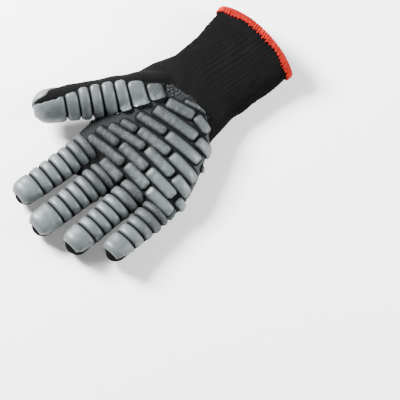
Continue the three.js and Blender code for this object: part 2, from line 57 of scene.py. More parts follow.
# Sections of the palm and the finger web: along, thumb side, outer side, depth, lift, squareness
palmTable = np.array([
    [0.05, -0.43, 0.291, 0.88, 0, 2.3],
    [0.15, -0.468, 0.297, 0.92, 0, 2.4],
    [0.27, -0.5, 0.315, 0.97, 0, 2.5],
    [0.36, -0.51, 0.345, 1, 0, 2.5],
    [0.48, -0.49, 0.415, 1, 0, 2.5],
    [0.6, -0.465, 0.474, 0.97, 0, 2.6],
    [0.73, -0.45, 0.518, 0.9, 0, 2.7],
    [0.84, -0.44, 0.54, 0.8, 0, 2.8],
    [0.9, -0.436, 0.54, 0.72, 0, 2.8],
    [0.95, -0.43, 0.45, 0.66, 0.2, 2.6],
    [1, -0.42, 0.31, 0.6, 0.8, 2.4],
    [1.05, -0.4, 0.13, 0.54, 1.6, 2.2],
    [1.1, -0.36, -0.02, 0.46, 3, 2],
])

# Sections of the cuff from the hem: along, width, depth, shift, lift, bow
cuffTable = np.array([
    [-1, 1, 1, -0.045, 2.2, 1],
    [-0.84, 0.975, 0.98, -0.045, 1.4, 0.8],
    [-0.6, 0.945, 0.965, -0.045, 0.3, 0.5],
    [-0.3, 0.91, 0.97, -0.049, 0, 0.1],
])

# The thumb's line: along, bow, height, girth
thumbTable = np.array([
    [-0.1, -0.1, 0.44, 0.8],
    [0, 0, 0.5, 1.04],
    [0.17, 0.05, 0.6, 1.16],
    [0.34, 0.1, 0.7, 1.13],
    [0.52, 0.1, 0.77, 1.05],
    [0.7, 0.06, 0.79, 0.98],
    [0.86, 0.03, 0.78, 0.92],
    [1, 0, 0.76, 0.88],
])

# The fingers: root along and across the palm, length, width, splay, lift of the tip
fingers = {
    "index": {"root": (0.926, -0.315), "length": 79, "width": 21.5, "splay": -5.2, "lift": 0.8},
    "middle": {"root": (1.007, -0.054), "length": 78, "width": 21.5, "splay": -3.8, "lift": 0.4},
    "ring": {"root": (0.928, 0.2), "length": 79, "width": 21.5, "splay": 0.2, "lift": 0.8},
    "little": {"root": (0.942, 0.444), "length": 58, "width": 19.5, "splay": 2.4, "lift": 3.4},
}


# A smooth curve through each column of a table, against its first column: cubic pieces whose
# slopes come from the rows on either side.
def readTable(table, at):
    ats, values = table[:, 0], table[:, 1:]
    rows = np.arange(len(ats))
    before, after = np.maximum(rows - 1, 0), np.minimum(rows + 1, len(ats) - 1)
    slopes = (values[after] - values[before]) / (ats[after] - ats[before])[:, None]
    at = np.asarray(at, float)
    row = np.clip(np.searchsorted(ats, at) - 1, 0, len(ats) - 2)
    step = (ats[row + 1] - ats[row])[..., None]
    t = np.clip((at - ats[row])[..., None] / step, 0, 1)
    blend = 3 * t ** 2 - 2 * t ** 3
    ends = values[row] * (1 - blend) + values[row + 1] * blend
    lean = slopes[row] * (t ** 3 - 2 * t ** 2 + t) + slopes[row + 1] * (t ** 3 - t ** 2)
    return ends + step * lean


# A power of a value's size, with the value's own sign
def signedPower(value, power):
    return np.sign(value) * np.abs(value) ** power


# 0 up to low and 1 past high, and 3 t^2 - 2 t^3 between them
def smoothStep(value, low, high):
    t = np.clip((value - low) / (high - low), 0, 1)
    return t * t * (3 - 2 * t)


# Soft random waves at points: cosines in random directions, summed and divided by the root of
# their count, so that their usual size is about 0.7.
def waves(points, size, seed, count=14):
    dice = np.random.default_rng(seed)
    ways = dice.normal(size=(count, 3))
    ways /= np.linalg.norm(ways, axis=1)[:, None]
    ways *= dice.uniform(0.6, 1.5, count)[:, None] * 2 * np.pi / size
    return np.cos(points @ ways.T + dice.uniform(0, 2 * np.pi, count)).sum(axis=-1) / np.sqrt(count)


# Every section of the hand in millimetres: x, thumb side, outer side, depth, lift, bow, squareness
def handRows():
    g = glove
    width, half = g["palmWidth"], g["cuffWidth"] / 2
    along, share, depth, shift, lift, bow = cuffTable.T
    cuff = np.column_stack([
        along * g["cuffLength"], shift * width - share * half, shift * width + share * half,
        depth * g["cuffDepth"], lift, bow * g["hemBow"], np.full(len(along), g["cuffSquareness"])])
    near = g["wristThumbSide"] * width
    wrist = np.array([[0, near, near + g["wristWidth"], g["wristDepth"], 0, 0, g["cuffSquareness"]]])
    along, thumbSide, outerSide, depth, lift, squareness = palmTable.T
    palm = np.column_stack([
        along * g["palmLength"], thumbSide * width, outerSide * width, depth * g["palmDepth"],
        lift, np.zeros(len(along)), squareness])
    return np.vstack([cuff, wrist, palm])


handTable = handRows()


# The hand's section at x: middle across and up, half width and depth, squareness and bow
def handSection(x):
    near, far, depth, lift, bow, squareness = np.moveaxis(readTable(handTable, x), -1, 0)
    sink = np.where(lift > 0, np.maximum(glove["restSink"] - lift, 0), glove["restSink"])
    return {
        "y": (near + far) / 2,
        "z": depth / 2 + lift - sink,
        "halfWidth": (far - near) / 2,
        "halfDepth": depth / 2,
        "squareness": squareness,
        "bow": bow,
    }


# A point of the hand's skin: a superellipse round its section, moved out by grow, kept above the
# surface it rests on, and moved towards the hem by the bow, most in its middle.
def handPoint(x, angle, grow=0.0):
    s = handSection(x)
    power = 2 / s["squareness"]
    across = (s["halfWidth"] + grow) * signedPower(np.cos(angle), power)
    up = (s["halfDepth"] + grow) * signedPower(np.sin(angle), power)
    pull = s["bow"] * (1 - (across / (s["halfWidth"] + grow)) ** 2)
    z = np.maximum(s["z"] + up, -grow)
    return np.stack(np.broadcast_arrays(x - pull, s["y"] + across, z), axis=-1)


# The angle round the hand at a share of its half width, which past sideFrom goes on evenly
# round the side
def angleAtShare(share, squareness, sideFrom=0.9, sideTurn=150):
    size = np.abs(share)
    flat = np.arccos(np.minimum(size, sideFrom) ** (squareness / 2))
    angle = flat - np.maximum(size - sideFrom, 0) * np.radians(sideTurn)
    return np.where(share < 0, np.pi - angle, angle)


# A point of the palm's skin at a share of its half width
def palmPoint(x, share, grow=0.0):
    return handPoint(x, angleAtShare(share, handSection(x)["squareness"]), grow)


# A finger as its length, tip reach, half sizes, sideways and upward directions, and its line:
# straight from the root, rising with the square of the distance, and tapering evenly
def fingerDigit(name):
    f, g = fingers[name], glove
    turn = np.radians(f["splay"])
    ahead = np.array([np.cos(turn), np.sin(turn), 0])
    root = np.array([f["root"][0] * g["palmLength"], f["root"][1] * g["palmWidth"],
                     g["fingerDepth"] / 2 + g["fingerRest"]])

    def line(distance):
        share = np.maximum(distance, 0) / f["length"]
        centre = root + distance[..., None] * ahead
        centre[..., 2] += f["lift"] * share ** 2
        return centre, 1 - g["fingerTaper"] * share

    return {
        "length": f["length"], "reach": f["width"] / 2, "line": line, "squareness": 2.2,
        "halfWidth": f["width"] / 2, "halfDepth": g["fingerDepth"] / 2,
        "side": np.array([-ahead[1], ahead[0], 0]), "up": np.array([0, 0, 1.0]),
    }


# The thumb in the same way, rolled round its line, which bends and swells as its table says
def thumbDigit():
    g = glove
    turn, roll = np.radians(-g["thumbSplay"]), np.radians(g["thumbRoll"])
    ahead = np.array([np.cos(turn), np.sin(turn), 0])
    across = np.array([-ahead[1], ahead[0], 0])
    table = thumbTable * [g["thumbLength"], g["thumbWidth"], g["palmDepth"], 1]
    root = np.array([g["thumbRoot"][0] * g["palmLength"], g["thumbRoot"][1] * g["palmWidth"], 0])

    def line(distance):
        bow, height, girth = np.moveaxis(readTable(table, distance), -1, 0)
        centre = root + distance[..., None] * ahead + bow[..., None] * across
        centre[..., 2] = height
        return centre, girth

    return {
        "length": g["thumbLength"], "reach": g["thumbWidth"] / 2, "line": line, "squareness": 2.1,
        "halfWidth": g["thumbWidth"] / 2, "halfDepth": g["thumbDepth"] / 2,
        "side": across * np.cos(roll) - np.array([0, 0, np.sin(roll)]),
        "up": across * np.sin(roll) + np.array([0, 0, np.cos(roll)]),
    }


digits = {name: fingerDigit(name) for name in fingers}
digits["thumb"] = thumbDigit()


# Where the tip's rounding ends, measured along the skin from the root
def tipEnd(digit):
    return digit["length"] + digit["reach"] * (np.pi / 2 - 1)


# A point of a digit's skin: a superellipse round its line, whose size falls as a quarter circle
# over the tip, moved out by grow and kept above the surface it rests on.
def digitPoint(digit, along, angle, grow=0.0):
    straight = digit["length"] - digit["reach"]
    theta = np.clip((along - straight) / digit["reach"], 0, np.pi / 2)
    distance = np.minimum(along, straight) + (digit["reach"] + grow) * np.sin(theta)
    centre, girth = digit["line"](distance)
    power = 2 / digit["squareness"]
    fall = np.cos(theta)
    across = (digit["halfWidth"] * girth + grow) * fall * signedPower(np.cos(angle), power)
    up = (digit["halfDepth"] * girth + grow) * fall * signedPower(np.sin(angle), power)
    points = centre + across[..., None] * digit["side"] + up[..., None] * digit["up"]
    points[..., 2] = np.maximum(points[..., 2], -np.minimum(grow, 0))
    return points


# The quads of a grid of rows and columns, closed across its columns if asked
def gridQuads(rows, columns, closed=False):
    r = np.arange(rows - 1)[:, None] * columns
    c = np.arange(columns if closed else columns - 1)[None, :]
    d = (c + 1) % columns
    return np.stack([r + c, r + d, r + columns + d, r + columns + c], axis=-1).reshape(-1, 4)


# A mesh object from points in millimetres and lists of faces with their corners in arrays
def meshFrom(name, points, faceSets):
    used, index = np.unique(np.concatenate([f.ravel() for f in faceSets]), return_inverse=True)
    sizes = np.concatenate([np.full(len(f), f.shape[1]) for f in faceSets])
    mesh = bpy.data.meshes.new(name)
    mesh.vertices.add(len(used))
    mesh.vertices.foreach_set("co", ((points[used] + rowShift) * millimetre).ravel())
    mesh.loops.add(len(index))
    mesh.loops.foreach_set("vertex_index", index.astype(np.int32))
    mesh.polygons.add(len(sizes))
    starts = np.concatenate([[0], np.cumsum(sizes)[:-1]])
    mesh.polygons.foreach_set("loop_start", starts.astype(np.int32))
    mesh.update(calc_edges=True)
    mesh.polygons.foreach_set("use_smooth", np.ones(len(sizes), bool))
    piece = bpy.data.objects.new(name, mesh)
    bpy.context.scene.collection.objects.link(piece)
    return piece, used


# Points closer than a distance (metres) become one, and faces without area go
def mergeClose(piece, distance=2e-6):
    work = bmesh.new()
    work.from_mesh(piece.data)
    bmesh.ops.remove_doubles(work, verts=work.verts, dist=distance)
    bmesh.ops.dissolve_degenerate(work, edges=work.edges, dist=distance / 4)
    work.to_mesh(piece.data)
    work.free()


# A closed body between an upper and a lower grid, over the cells that are kept, or all of them:
# both skins, and a rim wherever a kept cell has no neighbour. It carries shares as attributes.
def slabFrom(name, upper, lower, shares, keep=None):
    rows, columns = upper.shape[:2]
    quads = gridQuads(rows, columns)
    if keep is not None:
        quads = quads[keep.ravel()]
    count = rows * columns
    start = quads.ravel()
    end = np.roll(quads, -1, axis=1).ravel()
    lone = ~np.isin(start * count + end, end * count + start)
    rim = np.stack([end[lone], start[lone], start[lone] + count, end[lone] + count], axis=-1)
    points = np.concatenate([upper.reshape(-1, 3), lower.reshape(-1, 3)])
    piece, used = meshFrom(name, points, [quads, quads[:, ::-1] + count, rim])
    for label, values in shares.items():
        layer = piece.data.attributes.new(label, "FLOAT", "POINT")
        layer.data.foreach_set("value", np.tile(values.ravel(), 2)[used].astype(np.float32))
    mergeClose(piece)
    return piece


# A piece stands for its solid's node, lies on the root body and takes its material
def finishPiece(piece, node, material):
    piece.data.materials.append(material)
    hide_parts(node)
    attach(piece, "root")


# Materials

# One value in a shader: an expression on wires adds its Math nodes.
class Wire:
    def __init__(self, tree, socket):
        self.tree, self.socket = tree, socket

    def maths(self, operation, *values, clamp=False):
        node = self.tree.nodes.new("ShaderNodeMath")
        node.operation, node.use_clamp = operation, clamp
        for place, value in zip(node.inputs, values):
            plug(self.tree, place, value)
        return Wire(self.tree, node.outputs[0])

    def __add__(self, other): return self.maths("ADD", self, other)
    def __radd__(self, other): return self.maths("ADD", self, other)
    def __sub__(self, other): return self.maths("SUBTRACT", self, other)
    def __rsub__(self, other): return self.maths("SUBTRACT", other, self)
    def __mul__(self, other): return self.maths("MULTIPLY", self, other)
    def __rmul__(self, other): return self.maths("MULTIPLY", self, other)
    def __truediv__(self, other): return self.maths("DIVIDE", self, other)
    def fract(self): return self.maths("FRACT", self)
    def size(self): return self.maths("ABSOLUTE", self)
    def clamp(self): return self.maths("ADD", self, 0.0, clamp=True)


# Links a wire to a socket, or sets the socket to a value
def plug(tree, place, value):
    if isinstance(value, Wire):
        tree.links.new(value.socket, place)
    else:
        place.default_value = value


# A material whose nodes are added one by one
class Paint:
    def __init__(self, name):
        self.material = bpy.data.materials.new(name)
        self.material.use_nodes = True
        self.tree = self.material.node_tree
        self.shader = self.tree.nodes["Principled BSDF"]

    # A node of a type: its settings first, then the values or links of its sockets
    def add(self, kind, settings=None, values=None, output=0):
        node = self.tree.nodes.new("ShaderNode" + kind)
        for key, value in (settings or {}).items():
            setattr(node, key, value)
        for key, value in (values or {}).items():
            plug(self.tree, node.inputs[key], value)
        return Wire(self.tree, node.outputs[output])

    def place(self):
        return self.add("TexCoord", output="Object")

    def noise(self, size, detail=2.0, rough=0.5, stretch=None):
        spot = self.place()
        if stretch:
            spot = self.add("Mapping", values={"Vector": spot, "Scale": stretch})
        values = {"Vector": spot, "Scale": 1 / size, "Detail": detail, "Roughness": rough}
        return self.add("TexNoise", values=values, output="Fac")

    def axis(self, spot, number):
        return self.add("SeparateXYZ", values={0: spot}, output=number)

    def share(self, name):
        return self.add("Attribute", {"attribute_name": name}, output="Fac")

    def step(self, value, low, high):
        return self.add("MapRange", {"interpolation_type": "SMOOTHSTEP"},
                        {"Value": value, "From Min": low, "From Max": high})

    def mix(self, factor, first, second):
        return self.add("Mix", {"data_type": "RGBA"}, {0: factor, 6: first, 7: second}, output=2)

    def bump(self, height, distance, strength=1.0):
        values = {"Height": height, "Distance": distance, "Strength": strength}
        return self.add("Bump", values=values)

    # The shader shows where share is 1, and gives way to a second, dull one where it is 0
    def under(self, share, values):
        dull = self.add("BsdfPrincipled", values=values)
        glossy = Wire(self.tree, self.shader.outputs[0])
        mixed = self.add("MixShader", values={0: share, 1: dull, 2: glossy})
        plug(self.tree, self.tree.nodes["Material Output"].inputs["Surface"], mixed)

    def put(self, **values):
        for key, value in values.items():
            plug(self.tree, self.shader.inputs[key.replace("_", " ")], value)
        return self.material


def tone(red, green, blue):
    return (red, green, blue, 1.0)


# Knit yarn: columns of slanted stitches on the piece's own map, which counts in millimetres
knitLook = {"wale": 1.7, "course": 1.25, "slant": 0.6, "depth": 0.0005,
            "dark": tone(0.001, 0.001, 0.0011), "yarn": tone(0.005, 0.005, 0.0053),
            "fleck": tone(0.017, 0.0167, 0.0167), "fuzz": 0.0005, "patch": 0.012,
            "wobble": 0.004, "rough": 1.0, "shine": 0.06}


def knitPaint():
    look, paint = knitLook, Paint("knit yarn")
    spot = paint.add("UVMap", {"uv_map": "wales"})
    u, v = paint.axis(spot, 0), paint.axis(spot, 1)
    wobble = paint.noise(look["wobble"], 1.0) * 0.25
    beside = ((u / look["wale"] + wobble).fract() - 0.5).size() * 2.0
    course = (v / look["course"] + beside * look["slant"] + wobble).fract()
    leg = 1.0 - (beside - 0.5).size() * 2.0
    loop = (leg * (1.0 - (course - 0.5).size() * 1.5)).clamp()
    fuzz = paint.noise(look["fuzz"], 3.0, 0.7)
    patch = paint.noise(look["patch"], 3.0, 0.6)
    shade = paint.step(loop + fuzz * 0.35, 0.1, 0.85)
    colour = paint.mix(shade, look["dark"], look["yarn"])
    colour = paint.mix(paint.step(fuzz * 0.7 + patch * 0.5, 0.66, 0.86) * 0.55, colour, look["fleck"])
    normal = paint.bump(loop + fuzz * 0.3, look["depth"], 0.85)
    return paint.put(Base_Color=colour, Roughness=look["rough"], Normal=normal,
                     Specular_IOR_Level=look["shine"])


# Pad rubber: satin grey foam, mottled near the thumb and the finger roots and darker there, partly as
# wear and partly as painted shade; painted shade near black down in the grooves and on the lower
# shoulders of the ribs and pillows; and dull where only the sheet lies on the knit
# groove is a painted shade: near black, down in the grooves beside the ribs and pillows
rubberLook = {"top": tone(0.082, 0.096, 0.1), "pale": tone(0.13, 0.147, 0.151),
              "deep": tone(0.016, 0.0192, 0.0204), "web": tone(0.012, 0.0138, 0.0144),
              "paleWeb": tone(0.034, 0.04, 0.0405), "groove": tone(0.003, 0.0034, 0.0036),
              "mottle": 0.0014, "patch": 0.014, "grain": 0.00035, "pores": 0.0011,
              "depth": 0.00035, "topRough": 0.4, "webRough": 0.9, "topShine": 0.4,
              "webShine": 0.08}


def rubberPaint():
    look, paint = rubberLook, Paint("grip rubber")
    relief, web, wearAndShade = paint.share("relief"), paint.share("web"), paint.share("wearAndShade")
    mottle = paint.noise(look["mottle"], 4.0, 0.65)
    patch = paint.noise(look["patch"], 2.0, 0.5)
    grain = paint.noise(look["grain"], 2.0, 0.6)
    pores = paint.noise(look["pores"], 3.0)
    # colours of the tops and of the sheet between them, both darker towards the thumb's side and the
    # finger roots: partly wear, partly painted shade
    top = paint.mix(paint.step(patch, 0.35, 0.68) * 0.25 + wearAndShade * 0.75, look["top"], look["deep"])
    top = paint.mix(paint.step(mottle, 0.54, 0.7) * (wearAndShade * 0.3 + 0.06), top, look["pale"])
    top = paint.mix(paint.step(mottle, 0.48, 0.3) * (wearAndShade * 0.7 + 0.08), top, look["deep"])
    webTone = paint.mix(wearAndShade * 1.4, look["paleWeb"], look["web"])
    # painted shade: the near black groove colour next to the ribs and pillows, giving way to the
    # sheet's own tone further out
    low = paint.mix(paint.step(web + mottle * 0.5 - 0.25, 0.1, 0.9), look["groove"], webTone)
    # how far the glossy tops show, as a painted shade: where the relief is low, on the lower shoulders
    # of ribs and pillows, the dark dull shader shows instead; the tops show less where the rubber is
    # darker for wear and painted shade
    lit = paint.step(relief + (mottle - 0.5) * 0.12, 0.25, 0.95)
    lit = lit * (1 - wearAndShade * (0.5 - paint.step(mottle + patch * 0.4, 0.5, 0.8) * 0.3))
    rough = paint.step(relief, 0.1, 0.6) * (look["topRough"] - look["webRough"]) + look["webRough"]
    rough = rough + (mottle - 0.5) * 0.25 + wearAndShade * 0.22
    dents = mottle * (wearAndShade * 0.8 + 0.2) + grain * 0.12 + pores * web
    normal = paint.bump(dents, look["depth"], 0.6)
    paint.under(lit, {"Base Color": low, "Roughness": look["webRough"],
                      "Specular IOR Level": look["webShine"], "Normal": normal})
    return paint.put(Base_Color=top, Roughness=rough, Normal=normal,
                     Specular_IOR_Level=look["topShine"])


# Back coat: thin light grey rubber with fine wrinkles across the thumb
coatLook = {"base": tone(0.085, 0.096, 0.093), "shade": tone(0.045, 0.052, 0.05),
            "rim": tone(0.03, 0.032, 0.033), "wrinkle": 0.0016, "patch": 0.009, "grain": 0.0005,
            "depth": 0.0004, "rough": 0.5}


def coatPaint():
    look, paint = coatLook, Paint("thin coat rubber")
    relief = paint.share("relief")
    wrinkle = paint.noise(look["wrinkle"], 4.0, 0.6, stretch=(1.6, 0.45, 1.0))
    patch = paint.noise(look["patch"], 3.0, 0.6)
    shade = paint.step(patch * 0.6 + wrinkle * 0.5, 0.45, 0.75)
    colour = paint.mix(shade, look["base"], look["shade"])
    colour = paint.mix(paint.step(relief, 0.0, 0.5), look["rim"], colour)
    dents = wrinkle + paint.noise(look["grain"], 2.0) * 0.25
    normal = paint.bump(dents, look["depth"], 0.55)
    return paint.put(Base_Color=colour, Roughness=look["rough"], Normal=normal)


# Hem thread: bright orange fuzzy yarn
hemLook = {"thread": tone(0.32, 0.0035, 0.0001), "shade": tone(0.13, 0.0012, 0.0001),
           "fuzz": 0.0004, "patch": 0.003, "depth": 0.0003, "rough": 0.85, "shine": 0.2}


def hemPaint():
    look, paint = hemLook, Paint("hem thread")
    fuzz = paint.noise(look["fuzz"], 3.0, 0.7)
    patch = paint.noise(look["patch"], 2.0)
    colour = paint.mix(paint.step(fuzz * 0.6 + patch * 0.4, 0.55, 0.35), look["thread"], look["shade"])
    normal = paint.bump(fuzz, look["depth"], 0.6)
    return paint.put(Base_Color=colour, Roughness=look["rough"], Normal=normal,
                     Specular_IOR_Level=look["shine"])


# Label cloth: white satin weave, and orange stitches where its edge share is high
labelLook = {"cloth": tone(0.82, 0.81, 0.79), "shade": tone(0.6, 0.59, 0.57),
             "edge": tone(0.8, 0.09, 0.02), "thread": 0.00035, "depth": 0.0001, "rough": 0.75}


def labelPaint():
    look, paint = labelLook, Paint("label cloth")
    edge = paint.share("edge")
    spot = paint.place()
    across, along = paint.axis(spot, 0), paint.axis(spot, 1)
    weft = ((across / look["thread"]).fract() - 0.5).size()
    warp = ((along / look["thread"]).fract() - 0.5).size()
    weave = weft + warp
    colour = paint.mix(paint.step(weave, 0.3, 0.9), look["shade"], look["cloth"])
    colour = paint.mix(paint.step(edge, 0.4, 0.6), colour, look["edge"])
    normal = paint.bump(weave, look["depth"], 0.5)
    return paint.put(Base_Color=colour, Roughness=look["rough"], Normal=normal)


# Floor: pale and matt, with broad faint patches and a little glow of its own
floorLook = {"base": tone(0.88, 0.88, 0.88), "pale": tone(0.9, 0.9, 0.9), "patch": 0.3,
             "rough": 0.9, "glow": 0.2}


def floorPaint():
    look, paint = floorLook, Paint("pale floor")
    colour = paint.mix(paint.noise(look["patch"], 2.0), look["base"], look["pale"])
    return paint.put(Base_Color=colour, Roughness=look["rough"], Emission_Color=tone(1, 1, 1),
                     Emission_Strength=look["glow"])


knitCloth = knitPaint()
gripRubber = rubberPaint()
coatRubber = coatPaint()
hemThread = hemPaint()
labelCloth = labelPaint()
print("materials made")

# The knit
knitSizes = {"voxel": 1.29, "smoothing": 7, "cuffRib": 4.6, "cuffRibDepth": 0.45,
             "cuffRibFade": (-6, 16), "thumbFull": 2.4, "thumbFullFrom": (-5, 25),
             "thumbFullUntil": (80, 108), "lump": 0.35, "lumpSize": 26.0, "thickness": 2.1,
             "hemCut": 0.6, "overhang": 8.0, "flatBelow": 0.4, "labelPocket": 0.75,
             "pocketBelow": 1.2, "pocketMargin": 0.5, "girth": 0.82, "around": 120,
             "handRings": 110, "digitRings": 70, "webEnd": 1.1, "tipStep": 2.5, "tipShrink": 4.0,
             "thumbBack": 0.1, "fingerBack": 0.11}


# A closed tube from a grid of rings: its skin and a fan over each end
def tubeParts(rings, offset):
    rows, columns = rings.shape[:2]
    points = np.concatenate([rings.reshape(-1, 3), rings[0].mean(0)[None], rings[-1].mean(0)[None]])
    k = np.arange(columns)
    n = (k + 1) % columns
    last = (rows - 1) * columns
    first = np.stack([np.full(columns, rows * columns), n, k], axis=-1)
    final = np.stack([np.full(columns, rows * columns + 1), last + k, last + n], axis=-1)
    return points, gridQuads(rows, columns, True) + offset, np.concatenate([first, final]) + offset


# The hand's tube and the digits' tubes, which run into one another; the thumb's swells outwards
def knitTubes():
    g, k = glove, knitSizes
    turn = np.linspace(0, 2 * np.pi, k["around"], endpoint=False)
    hem, web = -g["cuffLength"] - k["overhang"], k["webEnd"] * g["palmLength"]
    x = np.linspace(hem, web, k["handRings"])
    hand = handPoint(x[:, None], turn[None, :])
    tip = handPoint(np.array([[x[-1] + k["tipStep"]]]), turn[None, :], -k["tipShrink"])
    grids = [np.concatenate([hand, tip])]
    for name, digit in digits.items():
        back = k["fingerBack"] * g["palmLength"]
        if name == "thumb":
            back = k["thumbBack"] * digit["length"]
        along = np.linspace(-back, tipEnd(digit) * 0.998, k["digitRings"])
        full = k["thumbFull"] * (name == "thumb")
        full = full * smoothStep(along, *k["thumbFullFrom"])
        full = full * (1 - smoothStep(along, *k["thumbFullUntil"]))
        outer = np.maximum(-np.cos(turn[None, ::2]), 0)
        grids.append(digitPoint(digit, along[:, None], turn[None, ::2], full[:, None] * outer))
    points, quads, fans, offset = [], [], [], 0
    for grid in grids:
        p, q, f = tubeParts(grid, offset)
        points.append(p)
        quads.append(q)
        fans.append(f)
        offset += len(p)
    return np.concatenate(points), np.concatenate(quads), np.concatenate(fans)


# The points in millimetres and the quads of a piece after its modifiers
def meshArrays(piece):
    shown = piece.evaluated_get(bpy.context.evaluated_depsgraph_get()).to_mesh()
    points = np.empty(len(shown.vertices) * 3)
    shown.vertices.foreach_get("co", points)
    corners = np.empty(len(shown.loops), np.int32)
    shown.loops.foreach_get("vertex_index", corners)
    return points.reshape(-1, 3) / millimetre - rowShift, corners.reshape(-1, 4)


# Each point moved to the mean of its neighbours, some times over
def relax(points, quads, times, share=0.5):
    a = quads.ravel()
    b = np.roll(quads, -1, axis=1).ravel()
    near = np.bincount(a, minlength=len(points)) + np.bincount(b, minlength=len(points))
    for _ in range(times):
        total = np.stack([
            np.bincount(a, points[b, k], len(points)) + np.bincount(b, points[a, k], len(points))
            for k in range(3)], axis=-1)
        points = points + share * (total / near[:, None] - points)
    return points


# At each point the mean of its quads' crossed diagonals, at length one
def pointNormals(points, quads):
    p = points[quads]
    flat = np.cross(p[:, 2] - p[:, 0], p[:, 3] - p[:, 1])
    total = np.stack([np.bincount(quads.ravel(), np.repeat(flat[:, k], 4), len(points))
                      for k in range(3)], axis=-1)
    return total / (np.linalg.norm(total, axis=1)[:, None] + 1e-12)


# How far a point lies out of the hand's skin, and its angle round it
def handReading(points):
    s = handSection(points[:, 0])
    a = (points[:, 1] - s["y"]) / s["halfWidth"]
    b = (points[:, 2] - s["z"]) / s["halfDepth"]
    n = s["squareness"]
    out = (np.abs(a) ** n + np.abs(b) ** n) ** (1 / n) - 1
    angle = np.arctan2(signedPower(b, n / 2), signedPower(a, n / 2))
    return out * s["halfDepth"], angle


# How far a point lies out of a digit's skin, which counts from a little behind its root, its
# angle round it and its distance along it
def digitReading(digit, points, behind=8):
    ahead = np.cross(digit["side"], digit["up"])
    ahead = ahead * np.sign(ahead[0])
    start, _ = digit["line"](np.array([0.0]))
    distance = (points - start[0]) @ ahead / (ahead @ ahead)
    centre, girth = digit["line"](distance)
    off = points - centre
    off -= (off @ ahead)[:, None] * ahead
    a = off @ digit["side"] / (digit["halfWidth"] * girth)
    b = off @ digit["up"] / (digit["halfDepth"] * girth)
    n = digit["squareness"]
    past = np.maximum(distance - (digit["length"] - digit["reach"]), 0) / digit["reach"]
    before = np.maximum(-distance - behind, 0)
    out = (np.abs(a) ** n + np.abs(b) ** n + past ** 2) ** (1 / n) - 1
    angle = np.arctan2(signedPower(b, n / 2), signedPower(a, n / 2))
    return out * digit["halfDepth"] + before, angle, distance


# The knit's map: across the wales and along them, in millimetres. Each face takes the map of the
# hand or digit whose skin it lies nearest, so that wales run along every finger.
def walesMap(points, quads):
    middles = points[quads].mean(axis=1)
    outs = [handReading(middles)[0]]
    outs += [digitReading(digit, middles)[0] for digit in digits.values()]
    owners = np.repeat(np.argmin(outs, axis=0), 4)
    corners, middle = points[quads.ravel()], np.repeat(middles, 4, axis=0)
    uv = np.empty((len(corners), 2))
    own = owners == 0
    section = handSection(corners[own, 0])
    angle, mid = handReading(corners[own])[1], handReading(middle[own])[1]
    flat = np.abs(np.sin(mid)) > 0.35  # on the palm or the back, and not at a side
    across = np.sign(np.sin(mid)) * (section["y"] - corners[own, 1])
    aside = 0.8 * (section["halfWidth"] + 6) * (angle - np.where(np.cos(mid) > 0, 0, np.pi))
    uv[own, 0] = np.where(flat, across, aside)
    uv[own, 1] = corners[own, 0]
    for k, digit in enumerate(digits.values(), 1):
        own = owners == k
        radius = (digit["halfWidth"] + digit["halfDepth"]) / 2
        _, angle, along = digitReading(digit, corners[own])
        turns = np.round((angle - digitReading(digit, middle[own])[1]) / (2 * np.pi))
        uv[own, 0] = radius * (angle - 2 * np.pi * turns)
        uv[own, 1] = along
    return uv


# The label sewn on the back of the hand
labelSizes = {"length": 43.0, "width": 23.0, "thickness": 0.55, "turn": 14.0,
              "along": 0.26, "across": -0.09, "edge": 2.2, "cell": 0.5, "stitch": 1.1,
              "stand": 0.02, "dish": 0.12, "pinch": 0.06}


# Where points lie on the label, with a margin round it
def inLabel(points, margin):
    turn = np.radians(labelSizes["turn"])
    x = points[..., 0] - labelSizes["along"] * glove["palmLength"]
    y = points[..., 1] - labelSizes["across"] * glove["palmWidth"]
    a = x * np.cos(turn) + y * np.sin(turn)
    b = y * np.cos(turn) - x * np.sin(turn)
    inWidth = np.abs(a) < labelSizes["width"] / 2 + margin
    return inWidth & (np.abs(b) < labelSizes["length"] / 2 + margin)


# The tubes joined into one skin, smoothed, cut off along the hem, ribbed on the cuff, given soft
# lumps, and thickened inwards
def makeKnit():
    k = knitSizes
    points, quads, fans = knitTubes()
    draft, _ = meshFrom("knit_draft", points, [quads, fans])
    remesh = draft.modifiers.new("join", "REMESH")
    remesh.mode = "VOXEL"
    remesh.voxel_size = k["voxel"] * millimetre
    points, quads = meshArrays(draft)
    bpy.data.objects.remove(draft)
    points = relax(points, quads, k["smoothing"])
    middle = points[quads].mean(axis=1)
    s = handSection(middle[:, 0])
    share = np.clip((middle[:, 1] - s["y"]) / s["halfWidth"], -1, 1)
    edge = middle[:, 0] + s["bow"] * (1 - share ** 2)
    quads = quads[edge > -glove["cuffLength"] + k["hemCut"]]
    normals = pointNormals(points, quads)
    _, angle = handReading(points)
    section = handSection(points[:, 0])
    roundCuff = (section["halfWidth"] + section["halfDepth"]) * k["girth"] * angle
    cuffness = 1 - smoothStep(points[:, 0], *k["cuffRibFade"])
    rib = np.cos(2 * np.pi * roundCuff / k["cuffRib"]) * k["cuffRibDepth"] * cuffness
    lumps = waves(points, k["lumpSize"], 3) * k["lump"]
    flat = points[:, 2] < k["flatBelow"]  # pressed against what it rests on
    points = points + normals * ((rib - k["cuffRibDepth"] + lumps) * ~flat)[:, None]
    points[:, 2] = np.maximum(points[:, 2], 0)
    low = points[:, 2] < k["pocketBelow"]
    points[low & inLabel(points, k["pocketMargin"]), 2] = k["labelPocket"]
    knit, _ = meshFrom("knitted_glove", points, [quads])
    uv = walesMap(points, quads)
    layer = knit.data.uv_layers.new(name="wales")
    layer.data.foreach_set("uv", uv.astype(np.float32).ravel())
    wall = knit.modifiers.new("wall", "SOLIDIFY")
    wall.thickness = k["thickness"] * millimetre
    wall.offset = -1
    finishPiece(knit, "knit_shell", knitCloth)
    print("knit:", len(quads), "faces")


makeKnit()

